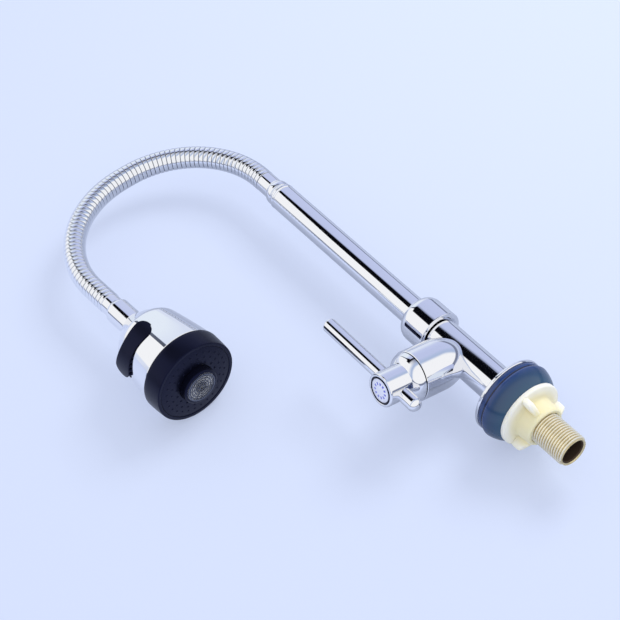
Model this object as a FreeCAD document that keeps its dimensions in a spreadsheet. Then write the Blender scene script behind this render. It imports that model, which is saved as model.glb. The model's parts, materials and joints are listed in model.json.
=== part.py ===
import FreeCAD, Part
import math
import os
import Sketcher

# A deck tap with a swivelling riser, a flexible ribbed neck and a two-way spray head.
# The origin is the centre of the face that sits on the deck, with +Z up along the riser.
# The neck and head lie in the XZ plane, with the head towards +X.

Vector = FreeCAD.Vector
doc = FreeCAD.newDocument("FlexibleNeckTap")
sheet = doc.addObject("Spreadsheet::Sheet", "sizes")


class Size:
    """A size as its number and as the sheet formula that drives it."""

    def __init__(self, number, formula):
        self.number = number
        self.formula = formula

    def __add__(self, other):
        other = as_size(other)
        return Size(self.number + other.number, f"({self.formula} + {other.formula})")

    def __sub__(self, other):
        other = as_size(other)
        return Size(self.number - other.number, f"({self.formula} - {other.formula})")

    def __mul__(self, other):
        other = as_size(other)
        return Size(self.number * other.number, f"({self.formula} * {other.formula})")

    def __truediv__(self, other):
        other = as_size(other)
        return Size(self.number / other.number, f"({self.formula} / {other.formula})")

    def __neg__(self):
        return Size(-self.number, f"(0 - {self.formula})")


def as_size(value):
    return value if isinstance(value, Size) else Size(float(value), repr(float(value)))


def size(alias, number, meaning):
    """Write one driving dimension into the next row of the sheet."""
    size.row += 1
    sheet.set(f"A{size.row}", meaning)
    sheet.set(f"B{size.row}", str(number))
    sheet.setAlias(f"B{size.row}", alias)
    return Size(float(number), f"sizes.{alias}")


size.row = 0

# Clearances between pieces, and the roundings that several pieces share
running_gap = size("running_gap", 0.1, "radial gap of a turning shaft in its hole")
fixed_gap = size("fixed_gap", 0.05, "radial gap of a part fixed in its seat")
free_gap = size("free_gap", 0.3, "gap between faces that pass each other")
edge_round = size("edge_round", 0.6, "rounding of the turned metal edges")
face_edge = size("face_edge", 0.9, "rounding of the moulded face edges")
ring_room = size("ring_room", 1.2, "half a seal groove for each section radius")
half_round_slack = size("half_round_slack", 0.005, "bend radius of a half round over its half width")

# Threaded inlet, backnut and deck gasket
thread_radius = size("thread_radius", 10.4775, "crest radius of the inlet thread")
thread_pitch = size("thread_pitch", 1.814, "pitch of the inlet thread")
thread_depth = size("thread_depth", 1.16, "depth of the inlet thread")
thread_turns = size("thread_turns", 15, "thread ridges on the inlet")
thread_gash = size("thread_gash", 0.42, "half a thread groove as a share of the pitch")
shank_length = size("shank_length", 39, "inlet length below the deck face")
shank_bore = size("shank_bore", 7.5, "inlet bore radius")
shank_mouth = size("shank_mouth", 9.0, "radius of the chamfered inlet mouth")
spigot_radius = size("spigot_radius", 9.0, "inlet spigot radius inside the body")
spigot_length = size("spigot_length", 14, "inlet spigot length inside the body")
nut_flange_radius = size("nut_flange_radius", 22.4, "backnut flange radius")
nut_flange_height = size("nut_flange_height", 3, "backnut flange thickness")
nut_hub_radius = size("nut_hub_radius", 13.5, "backnut hub radius")
nut_height = size("nut_height", 15, "backnut height")
wing_reach = size("wing_reach", 21.4, "backnut wing tip radius")
wing_thickness = size("wing_thickness", 4.4, "backnut wing thickness")
wing_angle = size("wing_angle", 75, "first backnut wing from +X")
wing_corner = size("wing_corner", 4.8, "height of the wing tip's rounded corner")
gasket_height = size("gasket_height", 17, "deck gasket height")
gasket_foot = size("gasket_foot", 22.4, "gasket radius on the deck")
gasket_belly = size("gasket_belly", 26, "gasket radius at its belly")
gasket_belly_height = size("gasket_belly_height", 10.6, "height of the gasket belly")
gasket_groove = size("gasket_groove", 24.7, "gasket radius in its groove")
gasket_groove_height = size("gasket_groove_height", 13.2, "height of the gasket groove")
gasket_top = size("gasket_top", 24.4, "gasket radius at its top")
gasket_roll = size("gasket_roll", 2.9, "bending radius over the gasket's belly")
gasket_bead = size("gasket_bead", 5.7, "bending radius of the gasket's top bead")

# Body column with its base flange
base_radius = size("base_radius", 25.3, "base flange radius")
base_rim = size("base_rim", 1.8, "base flange rim height")
base_cone = size("base_cone", 2.4, "rise of the base flange cone")
base_neck = size("base_neck", 13.2, "radius where the cone meets the body")
base_hollow = size("base_hollow", 1.8, "bending radius of the fillet above the cone")
base_fillet = size("base_fillet", 1.2, "height of the fillet above the cone")
body_radius = size("body_radius", 11.85, "body column radius")
body_top = size("body_top", 92.5, "top of the body column")
water_bore = size("water_bore", 7, "lower waterway radius")
swivel_bore = size("swivel_bore", 9.2, "upper bore radius, where the riser turns")
port_radius = size("port_radius", 2.5, "radius of the valve ports")
port_offset = size("port_offset", 5, "valve ports from the branch axis")
port_lip = size("port_lip", 0.1, "wall left beyond a port")

# Valve branch and handle, stations measured out from the body axis
branch_height = size("branch_height", 61.6, "height of the valve branch axis")
branch_angle = size("branch_angle", 14.1, "valve branch from +X towards +Y")
barrel_radius = size("barrel_radius", 16.3, "valve barrel radius")
barrel_start = size("barrel_start", 22, "where the barrel becomes straight")
barrel_end = size("barrel_end", 39.9, "barrel end")
nose_start = size("nose_start", 4, "nose tip behind the body axis")
chamber_radius = size("chamber_radius", 11.5, "valve chamber radius")
chamber_floor = size("chamber_floor", 17, "valve chamber floor")
seal_height = size("seal_height", 1.5, "valve seal thickness")
disc_radius = size("disc_radius", 9.6, "fixed ceramic disc radius")
disc_height = size("disc_height", 3, "ceramic disc thickness")
headwork_length = size("headwork_length", 15.4, "headwork length")
headwork_wall = size("headwork_wall", 1.5, "headwork skirt wall")
spindle_radius = size("spindle_radius", 5.1, "valve spindle radius")
spindle_disc = size("spindle_disc", 1.7, "spindle disc thickness")
spline_radius = size("spline_radius", 4, "spindle end radius")
spline_end = size("spline_end", 47.5, "spindle end")
spindle_ring_inset = size("spindle_ring_inset", 3, "spindle seal behind the headwork's end")
hub_radius = size("hub_radius", 10.9, "handle hub radius")
hub_skirt = size("hub_skirt", 15.8, "handle skirt radius")
hub_skirt_end = size("hub_skirt_end", 47, "where the skirt meets the hub")
skirt_bend = size("skirt_bend", 7.5, "bending radius of the handle skirt")
skirt_floor = size("skirt_floor", 3.9, "depth inside the handle skirt")
hub_end = size("hub_end", 63.6, "handle hub end")
rod_radius = size("rod_radius", 4.7, "lever rod radius")
rod_station = size("rod_station", 53.5, "lever rod from the body axis")
rod_up = size("rod_up", 64.5, "lever rod above the branch axis")
rod_down = size("rod_down", 24, "lever rod below the branch axis")
rod_chamfer = size("rod_chamfer", 1.2, "lever rod top chamfer")
index_radius = size("index_radius", 8.8, "index recess radius")
index_depth = size("index_depth", 2, "index recess depth")
index_proud = size("index_proud", 0.3, "index ring above the hub")
index_disc_radius = size("index_disc_radius", 7.8, "index disc radius")
grub_radius = size("grub_radius", 2, "handle grub screw radius")
grub_station = size("grub_station", 45.2, "grub screw from the body axis")

# Swivel joint and riser
swivel_nut_radius = size("swivel_nut_radius", 15.8, "swivel nut radius")
swivel_nut_foot = size("swivel_nut_foot", 81.5, "underside of the swivel nut")
swivel_nut_side = size("swivel_nut_side", 98, "top of the swivel nut's straight side")
swivel_nut_top = size("swivel_nut_top", 105, "top of the swivel nut")
swivel_nut_lip = size("swivel_nut_lip", 11, "swivel nut radius at its top")
washer_height = size("washer_height", 1, "swivel washer thickness")
foot_flange_height = size("foot_flange_height", 2.6, "riser foot flange thickness")
foot_flange_radius = size("foot_flange_radius", 11.2, "riser foot flange radius")
foot_depth = size("foot_depth", 18, "riser foot length inside the body")
foot_bore = size("foot_bore", 5.6, "riser foot bore radius")
foot_spigot = size("foot_spigot", 8, "riser foot spigot length inside the riser")
ring_section = size("ring_section", 1, "section radius of the riser seal rings")
first_ring = size("first_ring", 3, "lower riser seal above the foot's end")
ring_spacing = size("ring_spacing", 7, "distance between the riser seal rings")
riser_radius = size("riser_radius", 9.5, "riser radius")
riser_wall = size("riser_wall", 1, "riser wall")
riser_top = size("riser_top", 246, "top of the riser tube")
bead_radius = size("bead_radius", 9.1, "riser bead radius")
bead_height = size("bead_height", 3.8, "riser bead height")
bead_round = size("bead_round", 2, "bending radius of the riser bead")
bead_groove = size("bead_groove", 8.2, "radius of the groove above the bead")
collar_height = size("collar_height", 11, "riser collar height")
collar_top_radius = size("collar_top_radius", 7.3, "riser collar radius at its top")
collar_spigot = size("collar_spigot", 7, "collar spigot length inside the riser")
collar_shoulder = size("collar_shoulder", 3.7, "height of the collar's rounded neck")
collar_bend = size("collar_bend", 11, "bending radius of the collar's neck")

# Flexible neck
hose_radius = size("hose_radius", 7.65, "crest radius of the neck's ribs")
rib_depth = size("rib_depth", 0.75, "depth between the neck's ribs")
rib_pitch = size("rib_pitch", 3.5, "distance between the neck's ribs")
rib_crest_start = size("rib_crest_start", 0.22, "share of the pitch where a rib's crest starts")
rib_crest_end = size("rib_crest_end", 0.78, "share of the pitch where a rib's crest ends")
rib_foot = size("rib_foot", 0.92, "share of the pitch where a rib's flank ends")
hose_bore = size("hose_bore", 4.6, "neck bore radius")
hose_tail = size("hose_tail", 6.6, "radius of the neck's plain ends")
run_in = size("run_in", 15.5, "straight run at the bottom of the neck")
rise_radius = size("rise_radius", 68, "bend radius of the rising half")
rise_turn = size("rise_turn", 90, "turn of the rising half")
top_run = size("top_run", 4.5, "straight run at the top of the neck")
fall_radius = size("fall_radius", 70.1, "bend radius of the falling half")
fall_turn = size("fall_turn", 93.4, "turn of the falling half")
run_out = size("run_out", 24.3, "straight run to the neck's end")
section_count = 6
ball_radius = size("ball_radius", 7.6, "radius of the ball at each bend")
socket_gap = size("socket_gap", 0.2, "gap between a ball and its socket")
socket_start = size("socket_start", 4.7, "start of a section beyond its bend")
liner_wall = size("liner_wall", 1.2, "wall of the water hose")
liner_stop = size("liner_stop", 1, "water hose end before a bend")
ferrule_radius = size("ferrule_radius", 7.5, "lower ferrule radius")
ferrule_height = size("ferrule_height", 11, "lower ferrule height")
upper_ferrule_radius = size("upper_ferrule_radius", 7.3, "upper ferrule radius")
upper_ferrule_height = size("upper_ferrule_height", 7, "upper ferrule height")
tail_in_ferrule = size("tail_in_ferrule", 5, "neck length inside the upper ferrule")

# Head, stations measured along its axis from the upper ferrule's start
stem_radius = size("stem_radius", 5.2, "radius of the stem in the coupling")
stem_bore = size("stem_bore", 3.4, "bore radius of the stem")
stem_flange_radius = size("stem_flange_radius", 6.9, "stem flange radius")
stem_flange_height = size("stem_flange_height", 2.4, "stem flange thickness")
coupling_radius = size("coupling_radius", 8.9, "coupling radius")
coupling_length = size("coupling_length", 19, "coupling length")
coupling_lip = size("coupling_lip", 4.2, "thickness of the coupling's top lip")
coupling_bore = size("coupling_bore", 7.6, "coupling bore radius")
coupling_round = size("coupling_round", 1.6, "rounding of the coupling's top edge")
head_washer_height = size("head_washer_height", 2, "head washer thickness")
bell_start = size("bell_start", 0.3, "bell shoulder beyond the coupling")
bell_top_radius = size("bell_top_radius", 9.2, "bell radius at its top")
bell_cone = size("bell_cone", 14.6, "height of the bell's cone")
bell_cone_radius = size("bell_cone_radius", 22.3, "bell radius at the end of its cone")
bell_bend = size("bell_bend", 8.9, "bending radius of the bell's shoulder")
bell_shoulder_radius = size("bell_shoulder_radius", 24.5, "bell radius below its shoulder")
bell_shoulder = size("bell_shoulder", 19.3, "height of cone and shoulder")
bell_flank = size("bell_flank", 700, "bending radius of the bell's flank")
bell_rim_radius = size("bell_rim_radius", 29.2, "bell radius at its rim")
bell_length = size("bell_length", 52, "bell length")
bell_wall = size("bell_wall", 1.6, "bell wall")
bell_bore = size("bell_bore", 4.5, "bore radius of the bell's inlet")
tongue_gap = size("tongue_gap", 0.8, "gap round the face ring's tongue")
face_ring_flank = size("face_ring_flank", 145.5, "bending radius of the face ring's flank")
face_ring_radius = size("face_ring_radius", 28.8, "face ring radius at its front")
face_ring_length = size("face_ring_length", 14, "face ring length")
face_ring_wall = size("face_ring_wall", 2.5, "face ring wall at its front")
face_ring_tongue = size("face_ring_tongue", 5, "face ring length inside the bell")
face_ring_ledge = size("face_ring_ledge", 24, "radius inside the face ring's ledge")
plate_seat = size("plate_seat", 4, "ledge depth behind the face ring's front")
plate_height = size("plate_height", 3.7, "nozzle plate thickness at its rim")
plate_crown = size("plate_crown", 0.9, "rise of the nozzle plate towards the aerator")
crown_bend = size("crown_bend", 90, "bending radius of the plate's front")
first_nozzle = size("first_nozzle", 2.5, "first nozzle ring beyond the plate's hole")
crown_step = size("crown_step", 0.22, "fall of the plate from one nozzle ring to the next")
nozzle_radius = size("nozzle_radius", 0.6, "nozzle radius")
nozzle_height = size("nozzle_height", 0.6, "nozzle height")
nozzle_spacing = size("nozzle_spacing", 3.6, "distance between nozzle rings")
aerator_radius = size("aerator_radius", 12.5, "aerator housing radius")
outlet_lap = size("outlet_lap", 3, "length of the outlet inside the aerator housing")
aerator_proud = size("aerator_proud", 6, "aerator housing beyond the face ring")
aerator_wall = size("aerator_wall", 2, "aerator housing wall")
insert_bore = size("insert_bore", 4.2, "bore radius of the aerator insert")
insert_lift = size("insert_lift", 0.6, "insert beyond the diverter housing's outlet")
mesh_height = size("mesh_height", 0.7, "aerator mesh thickness")
mesh_chamfer = size("mesh_chamfer", 1.4, "chamfer of the aerator mesh")

# Diverter and its rocker, in a frame whose +X points at the rocker
rocker_angle = size("rocker_angle", 40, "rocker centre from +X towards +Y")
rocker_span = size("rocker_span", 88, "angle that the rocker covers")
rocker_middle = size("rocker_middle", 28.1, "rocker centre beyond the bell's top")
rocker_width = size("rocker_width", 14, "rocker width along the head")
rocker_outer = size("rocker_outer", 27.6, "rocker outer radius")
rocker_thickness = size("rocker_thickness", 3.4, "rocker thickness")
rocker_edge = size("rocker_edge", 1.1, "rounding of the rocker's edges")
rocker_waist = size("rocker_waist", 1.4, "rocker narrowing at its middle")
rocker_waist_radius = size("rocker_waist_radius", 14, "bending radius of the waist")
rocker_tilt = size("rocker_tilt", 6, "rocker tilt each side of its middle")
window_gap = size("window_gap", 0.7, "gap round the rocker along the head")
window_play = size("window_play", 10, "angle that the window adds to the rocker's span")
pin_distance = size("pin_distance", 19.4, "rocker pin from the head axis")
pin_radius = size("pin_radius", 1.5, "rocker pin radius")
pin_length = size("pin_length", 13.6, "rocker pin length")
lug_thickness = size("lug_thickness", 2.4, "lug thickness beside the rocker")
lug_radius = size("lug_radius", 2.6, "lug radius round the pin")
rocker_boss = size("rocker_boss", 3.2, "rocker boss radius round the pin")
core_radius = size("core_radius", 15, "diverter housing radius")
core_flange = size("core_flange", 24, "diverter housing flange radius")
core_flange_height = size("core_flange_height", 2.4, "diverter housing flange thickness")
core_outlet = size("core_outlet", 8.4, "diverter housing outlet radius")
spool_arm = size("spool_arm", 8, "spool axis from the rocker pin")
spool_radius = size("spool_radius", 3, "diverter spool radius")
spool_length = size("spool_length", 16, "diverter spool length")
spool_slot = size("spool_slot", 3.5, "slot in the spool")
finger_reach = size("finger_reach", 0.9, "rocker finger beyond the spool's axis")
finger_play = size("finger_play", 0.6, "gap round the finger along the head")
slot_play = size("slot_play", 0.9, "gap beside the spool slot in the housing")
finger_thickness = size("finger_thickness", 1.6, "thickness of the rocker's finger")
finger_width = size("finger_width", 2.6, "width of the rocker's finger")
spool_ring_section = size("spool_ring_section", 0.6, "section radius of the spool rings")
spool_ring_place = size("spool_ring_place", 5.8, "spool rings from the spool's middle")

doc.recompute()


def make_body(name):
    body = doc.addObject("PartDesign::Body", name)
    body.Label = name
    return body


def origin_feature(body, role):
    for feature in body.Origin.OriginFeatures:
        if feature.Role == role:
            return feature
    raise ValueError(role)


def add_sketch(body, name, role="XZ_Plane", lift=None):
    """A sketch on one of the body's own planes, lifted along its normal."""
    sketch = body.newObject("Sketcher::SketchObject", name)
    sketch.AttachmentSupport = (origin_feature(body, role), "")
    sketch.MapMode = "FlatFace"
    if lift is not None:
        sketch.AttachmentOffset = FreeCAD.Placement(Vector(0, 0, lift.number), FreeCAD.Rotation())
        sketch.setExpression("AttachmentOffset.Base.z", lift.formula)
    return sketch


def pin_point(sketch, line, end, across, up):
    """Hold one sketch point at its two driven distances from the origin."""
    for kind, along_axis, distance in (("DistanceX", -2, across), ("DistanceY", -1, up)):
        if distance.formula == "0.0":
            sketch.addConstraint(Sketcher.Constraint("PointOnObject", line, end, along_axis))
            continue
        number = distance.number
        index = sketch.addConstraint(Sketcher.Constraint(kind, -1, 1, line, end, number))
        sketch.setExpression(f"Constraints[{index}]", distance.formula)


def outline(sketch, corners):
    """Close a driven outline. A corner is (across, up) or (across, up, bend radius of the next edge).

    A positive bend radius bulges to the right of the direction of travel.
    """
    points = [(as_size(corner[0]), as_size(corner[1])) for corner in corners]
    bends = [as_size(corner[2]) if len(corner) > 2 else None for corner in corners]
    places = [Vector(across.number, up.number, 0) for across, up in points]
    first = sketch.GeometryCount
    for index, place in enumerate(places):
        following = places[(index + 1) % len(places)]
        if bends[index] is None:
            sketch.addGeometry(Part.LineSegment(place, following), False)
        else:
            chord = following - place
            middle = (place + following) * 0.5
            side = Vector(chord.y, -chord.x, 0).normalize()
            bend = bends[index].number
            rise = abs(bend) - math.sqrt(bend * bend - chord.Length * chord.Length / 4)
            crown = middle + side * math.copysign(rise, bend)
            sketch.addGeometry(Part.Arc(place, crown, following), False)
    count = len(places)
    for index in range(count):
        edge = first + index
        following = first + (index + 1) % count
        corner = places[(index + 1) % count]
        ends = (edge, edge_end(sketch, edge, corner), following, edge_end(sketch, following, corner))
        sketch.addConstraint(Sketcher.Constraint("Coincident", *ends))
        pin_point(sketch, edge, edge_end(sketch, edge, places[index]), *points[index])
        if bends[index] is not None:
            radius = bends[index] if bends[index].number > 0 else -bends[index]
            bent = sketch.addConstraint(Sketcher.Constraint("Radius", edge, radius.number))
            sketch.setExpression(f"Constraints[{bent}]", radius.formula)


def edge_end(sketch, edge, place):
    """Say which end of a sketch edge lies at a place: 1 for its start, 2 for its end."""
    from_start = sketch.getPoint(edge, 1).distanceToPoint(place)
    from_end = sketch.getPoint(edge, 2).distanceToPoint(place)
    return 1 if from_start < from_end else 2


def circle(sketch, across, up, radius):
    """Draw one driven circle."""
    across, up, radius = as_size(across), as_size(up), as_size(radius)
    middle = Vector(across.number, up.number, 0)
    index = sketch.addGeometry(Part.Circle(middle, Vector(0, 0, 1), radius.number), False)
    pin_point(sketch, index, 3, across, up)
    bound = sketch.addConstraint(Sketcher.Constraint("Radius", index, radius.number))
    sketch.setExpression(f"Constraints[{bound}]", radius.formula)


def box_outline(sketch, low_across, low_up, high_across, high_up):
    outline(sketch, [
        (low_across, low_up),
        (high_across, low_up),
        (high_across, high_up),
        (low_across, high_up),
    ])


def turn(body, sketch, name, kind="PartDesign::Revolution", axis="V_Axis", angle=None):
    """Turn a sketch about one of its own axes, all the way round or by an angle centred on it."""
    feature = body.newObject(kind, name)
    feature.Profile = (sketch, [""])
    feature.ReferenceAxis = (sketch, [axis])
    if angle is None:
        feature.Angle = 360
    else:
        feature.Midplane = True
        feature.setExpression("Angle", angle.formula)
    doc.recompute()
    return feature


def extrude(body, sketch, name, kind, length=None, middle=False, reverse=False):
    """Pad or pocket a sketch by a driven length, or right through where none is given."""
    feature = body.newObject(kind, name)
    feature.Profile = (sketch, [""])
    if length is None:
        feature.Type = "ThroughAll"
    else:
        feature.setExpression("Length", length.formula)
    if middle:
        feature.Midplane = True
    feature.Reversed = reverse
    doc.recompute()
    return feature


def cut_worked(feature, before):
    """A cut that faces away from the solid removes nothing, so its volume is compared."""
    if feature.Shape.Volume > before - 1e-6:
        raise ValueError(f"{feature.Label} cuts nothing")


def turned(name, corners, placement=None):
    """A piece turned about its own Z axis from one closed profile of radius and height."""
    body = make_body(name)
    sketch = add_sketch(body, f"{name}_profile")
    outline(sketch, corners)
    turn(body, sketch, f"{name}_turned")
    if placement is not None:
        body.Placement = placement
    return body


def groove(body, name, corners, angle=None, axis="V_Axis"):
    before = body.Shape.Volume
    sketch = add_sketch(body, f"{name}_profile")
    outline(sketch, corners)
    cut_worked(turn(body, sketch, name, "PartDesign::Groove", axis, angle), before)


def pocket(body, name, role, draw, length=None, lift=None, middle=False, reverse=False):
    before = body.Shape.Volume
    sketch = add_sketch(body, f"{name}_outline", role, lift)
    draw(sketch)
    feature = extrude(body, sketch, name, "PartDesign::Pocket", length, middle, reverse)
    cut_worked(feature, before)
    return feature


def pad(body, name, role, draw, length, lift=None, middle=False, reverse=False):
    sketch = add_sketch(body, f"{name}_outline", role, lift)
    draw(sketch)
    return extrude(body, sketch, name, "PartDesign::Pad", length, middle, reverse)


def repeat_round(body, name, feature, count):
    """Repeat a feature evenly round the body's own Z axis."""
    pattern = body.newObject("PartDesign::PolarPattern", name)
    pattern.Originals = [feature]
    pattern.Axis = (origin_feature(body, "Z_Axis"), [""])
    pattern.Angle = 360
    pattern.Occurrences = count
    body.Tip = pattern
    doc.recompute()


def seal_ring(name, middle, section, place, placement=None):
    """A rubber ring of round section, with its own centre circle radius."""
    body = make_body(name)
    sketch = add_sketch(body, f"{name}_profile")
    circle(sketch, middle, place, section)
    turn(body, sketch, f"{name}_turned")
    if placement is not None:
        body.Placement = placement
    return body


# Inlet shank: a brass tube with ring ridges at the thread's pitch, and a plain spigot in the body
shank_top = gasket_height
inlet_shank = turned("inlet_shank", [
    (shank_mouth, -shank_length),
    (thread_radius - thread_depth / 2, -shank_length),
    (thread_radius, thread_depth / 2 - shank_length),
    (thread_radius, shank_top),
    (spigot_radius, shank_top),
    (spigot_radius, shank_top + spigot_length),
    (shank_bore, shank_top + spigot_length),
    (shank_bore, shank_mouth - shank_bore - shank_length),
])
first_groove = thread_depth / 2 - shank_length + thread_pitch / 2
thread_sketch = add_sketch(inlet_shank, "thread_groove_profile")
outline(thread_sketch, [
    (thread_radius - thread_depth, first_groove),
    (thread_radius + free_gap, first_groove - thread_pitch * thread_gash),
    (thread_radius + free_gap, first_groove + thread_pitch * thread_gash),
])
shank_volume = inlet_shank.Shape.Volume
thread_groove = turn(inlet_shank, thread_sketch, "thread_groove", "PartDesign::Groove")
cut_worked(thread_groove, shank_volume)
thread = inlet_shank.newObject("PartDesign::LinearPattern", "thread")
thread.Originals = [thread_groove]
thread.Direction = (origin_feature(inlet_shank, "Z_Axis"), [""])
thread.setExpression("Length", (thread_pitch * (thread_turns - 1)).formula)
thread.setExpression("Occurrences", thread_turns.formula)
inlet_shank.Tip = thread
doc.recompute()

# Backnut: a moulded flange and hub with three wings, free to run down the thread
backnut = turned("backnut", [
    (thread_radius + running_gap, -nut_height),
    (nut_hub_radius, -nut_height),
    (nut_hub_radius, -nut_flange_height),
    (nut_flange_radius, -nut_flange_height),
    (nut_flange_radius, 0),
    (thread_radius + running_gap, 0),
])
wing_root = (thread_radius + running_gap + nut_hub_radius) / 2
wing = pad(backnut, "wing", "XZ_Plane", lambda sketch: outline(sketch, [
    (wing_root, -nut_height),
    (nut_hub_radius + free_gap, -nut_height),
    (wing_reach, wing_corner - nut_height),
    (wing_reach, -nut_flange_height / 2),
    (wing_root, -nut_flange_height / 2),
]), wing_thickness, middle=True)
repeat_round(backnut, "wings", wing, 3)
backnut.Placement = FreeCAD.Placement(Vector(), FreeCAD.Rotation(Vector(0, 0, 1), wing_angle.number))

# Deck gasket: a soft cup that bulges over the deck, with a bead under the base flange
turned("deck_gasket", [
    (thread_radius + fixed_gap, 0),
    (gasket_foot, 0, gasket_belly),
    (gasket_belly, gasket_belly_height, gasket_roll),
    (gasket_groove, gasket_groove_height),
    (gasket_groove + free_gap, gasket_groove_height + free_gap, gasket_bead),
    (gasket_top, gasket_height),
    (thread_radius + fixed_gap, gasket_height),
])

# Tap body: column and base flange turned in one, with the valve barrel growing out of it
tap_body = make_body("tap_body")
column = add_sketch(tap_body, "column_profile")
outline(column, [
    (0, gasket_height),
    (base_radius, gasket_height),
    (base_radius, gasket_height + base_rim),
    (base_neck, gasket_height + base_rim + base_cone, -base_hollow),
    (body_radius, gasket_height + base_rim + base_cone + base_fillet),
    (body_radius, body_top),
    (0, body_top),
])
turn(tap_body, column, "column")
barrel = add_sketch(tap_body, "barrel_profile", "XY_Plane", branch_height)
nose_length = barrel_start + nose_start
nose_bend = (nose_length * nose_length + barrel_radius * barrel_radius) / (barrel_radius * 2)
outline(barrel, [
    (-nose_start, 0),
    (barrel_end, 0),
    (barrel_end, barrel_radius),
    (barrel_start, barrel_radius, nose_bend),
])
turn(tap_body, barrel, "barrel", axis="H_Axis")
groove(tap_body, "spigot_seat", [
    (0, gasket_height),
    (spigot_radius + fixed_gap, gasket_height),
    (spigot_radius + fixed_gap, gasket_height + spigot_length + free_gap),
    (0, gasket_height + spigot_length + free_gap),
])
lower_bore_top = branch_height - port_offset + port_radius + port_lip
upper_bore_floor = branch_height + port_offset - port_radius - port_lip
groove(tap_body, "lower_bore", [
    (0, gasket_height + spigot_length),
    (water_bore, gasket_height + spigot_length),
    (water_bore, lower_bore_top),
    (0, lower_bore_top),
])
groove(tap_body, "upper_bore", [
    (0, upper_bore_floor),
    (swivel_bore, upper_bore_floor),
    (swivel_bore, body_top),
    (0, body_top),
])
chamber = add_sketch(tap_body, "chamber_profile", "XY_Plane", branch_height)
box_outline(chamber, chamber_floor, 0, barrel_end, chamber_radius)
body_volume = tap_body.Shape.Volume
cut_worked(turn(tap_body, chamber, "chamber", "PartDesign::Groove", "H_Axis"), body_volume)


def draw_ports(sketch):
    circle(sketch, 0, branch_height - port_offset, port_radius)
    circle(sketch, 0, branch_height + port_offset, port_radius)


pocket(tap_body, "ports", "YZ_Plane", draw_ports, chamber_floor + port_lip, reverse=True)
branch_turn = FreeCAD.Rotation(Vector(0, 0, 1), branch_angle.number)
tap_body.Placement = FreeCAD.Placement(Vector(), branch_turn)

# Valve inside the barrel, built along its own Z axis and laid along the branch
branch_frame = FreeCAD.Placement(
    Vector(0, 0, branch_height.number),
    branch_turn * FreeCAD.Rotation(Vector(0, 0, 1), Vector(0, -1, 0), Vector(1, 0, 0), "ZXY"),
)


def ported_disc(name, start, height, radius):
    """A flat disc with the two valve ports through it."""
    top = start + height
    disc = turned(name, [(0, start), (radius, start), (radius, top), (0, top)], branch_frame)
    pocket(disc, f"{name}_ports", "XY_Plane", draw_disc_ports, height, lift=top)


def draw_disc_ports(sketch):
    circle(sketch, -port_offset, 0, port_radius)
    circle(sketch, port_offset, 0, port_radius)


seal_top = chamber_floor + seal_height
fixed_disc_top = seal_top + disc_height
moving_disc_top = fixed_disc_top + disc_height
ported_disc("valve_seal", chamber_floor, seal_height, disc_radius)
ported_disc("valve_disc_fixed", seal_top, disc_height, disc_radius)
moving_radius = disc_radius - free_gap
valve_disc_moving = turned("valve_disc_moving", [
    (0, fixed_disc_top),
    (moving_radius, fixed_disc_top),
    (moving_radius, moving_disc_top),
    (0, moving_disc_top),
], branch_frame)
crossover_reach = port_offset + port_radius
pocket(valve_disc_moving, "crossover", "XY_Plane", lambda sketch: box_outline(
    sketch, -port_radius, -crossover_reach, port_radius, crossover_reach,
), disc_height / 2, lift=fixed_disc_top, reverse=True)

# Headwork: the brass body that holds the discs, and the ring nut that clamps it
headwork_end = seal_top + headwork_length
spindle_disc_top = moving_disc_top + spindle_disc
shaft_hole = spindle_radius + running_gap
turned("headwork_body", [
    (disc_radius + free_gap, seal_top),
    (chamber_radius - running_gap, seal_top),
    (chamber_radius - running_gap, headwork_end),
    (shaft_hole, headwork_end),
    (shaft_hole, spindle_disc_top + free_gap),
    (disc_radius + free_gap, spindle_disc_top + free_gap),
], branch_frame)
turned("headwork_nut", [
    (shaft_hole + free_gap, headwork_end),
    (chamber_radius - fixed_gap, headwork_end),
    (chamber_radius - fixed_gap, barrel_end - free_gap),
    (shaft_hole + free_gap, barrel_end - free_gap),
], branch_frame)

# Valve spindle: a disc that drives the moving disc, a sealed shaft and the end that takes the handle
spindle_ring_section = (spindle_radius - spline_radius) / 2 + fixed_gap
spindle_ring_middle = spindle_radius - spindle_ring_section
spindle_ring_place = headwork_end - spindle_ring_inset
ring_root = spindle_ring_middle - spindle_ring_section - fixed_gap
turned("valve_spindle", [
    (0, moving_disc_top),
    (moving_radius, moving_disc_top),
    (moving_radius, spindle_disc_top),
    (spindle_radius, spindle_disc_top),
    (spindle_radius, spindle_ring_place - spindle_ring_section * ring_room),
    (ring_root, spindle_ring_place - spindle_ring_section * ring_room),
    (ring_root, spindle_ring_place + spindle_ring_section * ring_room),
    (spindle_radius, spindle_ring_place + spindle_ring_section * ring_room),
    (spindle_radius, barrel_end + free_gap),
    (spline_radius, barrel_end + free_gap),
    (spline_radius, spline_end),
    (0, spline_end),
], branch_frame)
seal_ring("spindle_oring", spindle_ring_middle, spindle_ring_section, spindle_ring_place, branch_frame)

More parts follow.
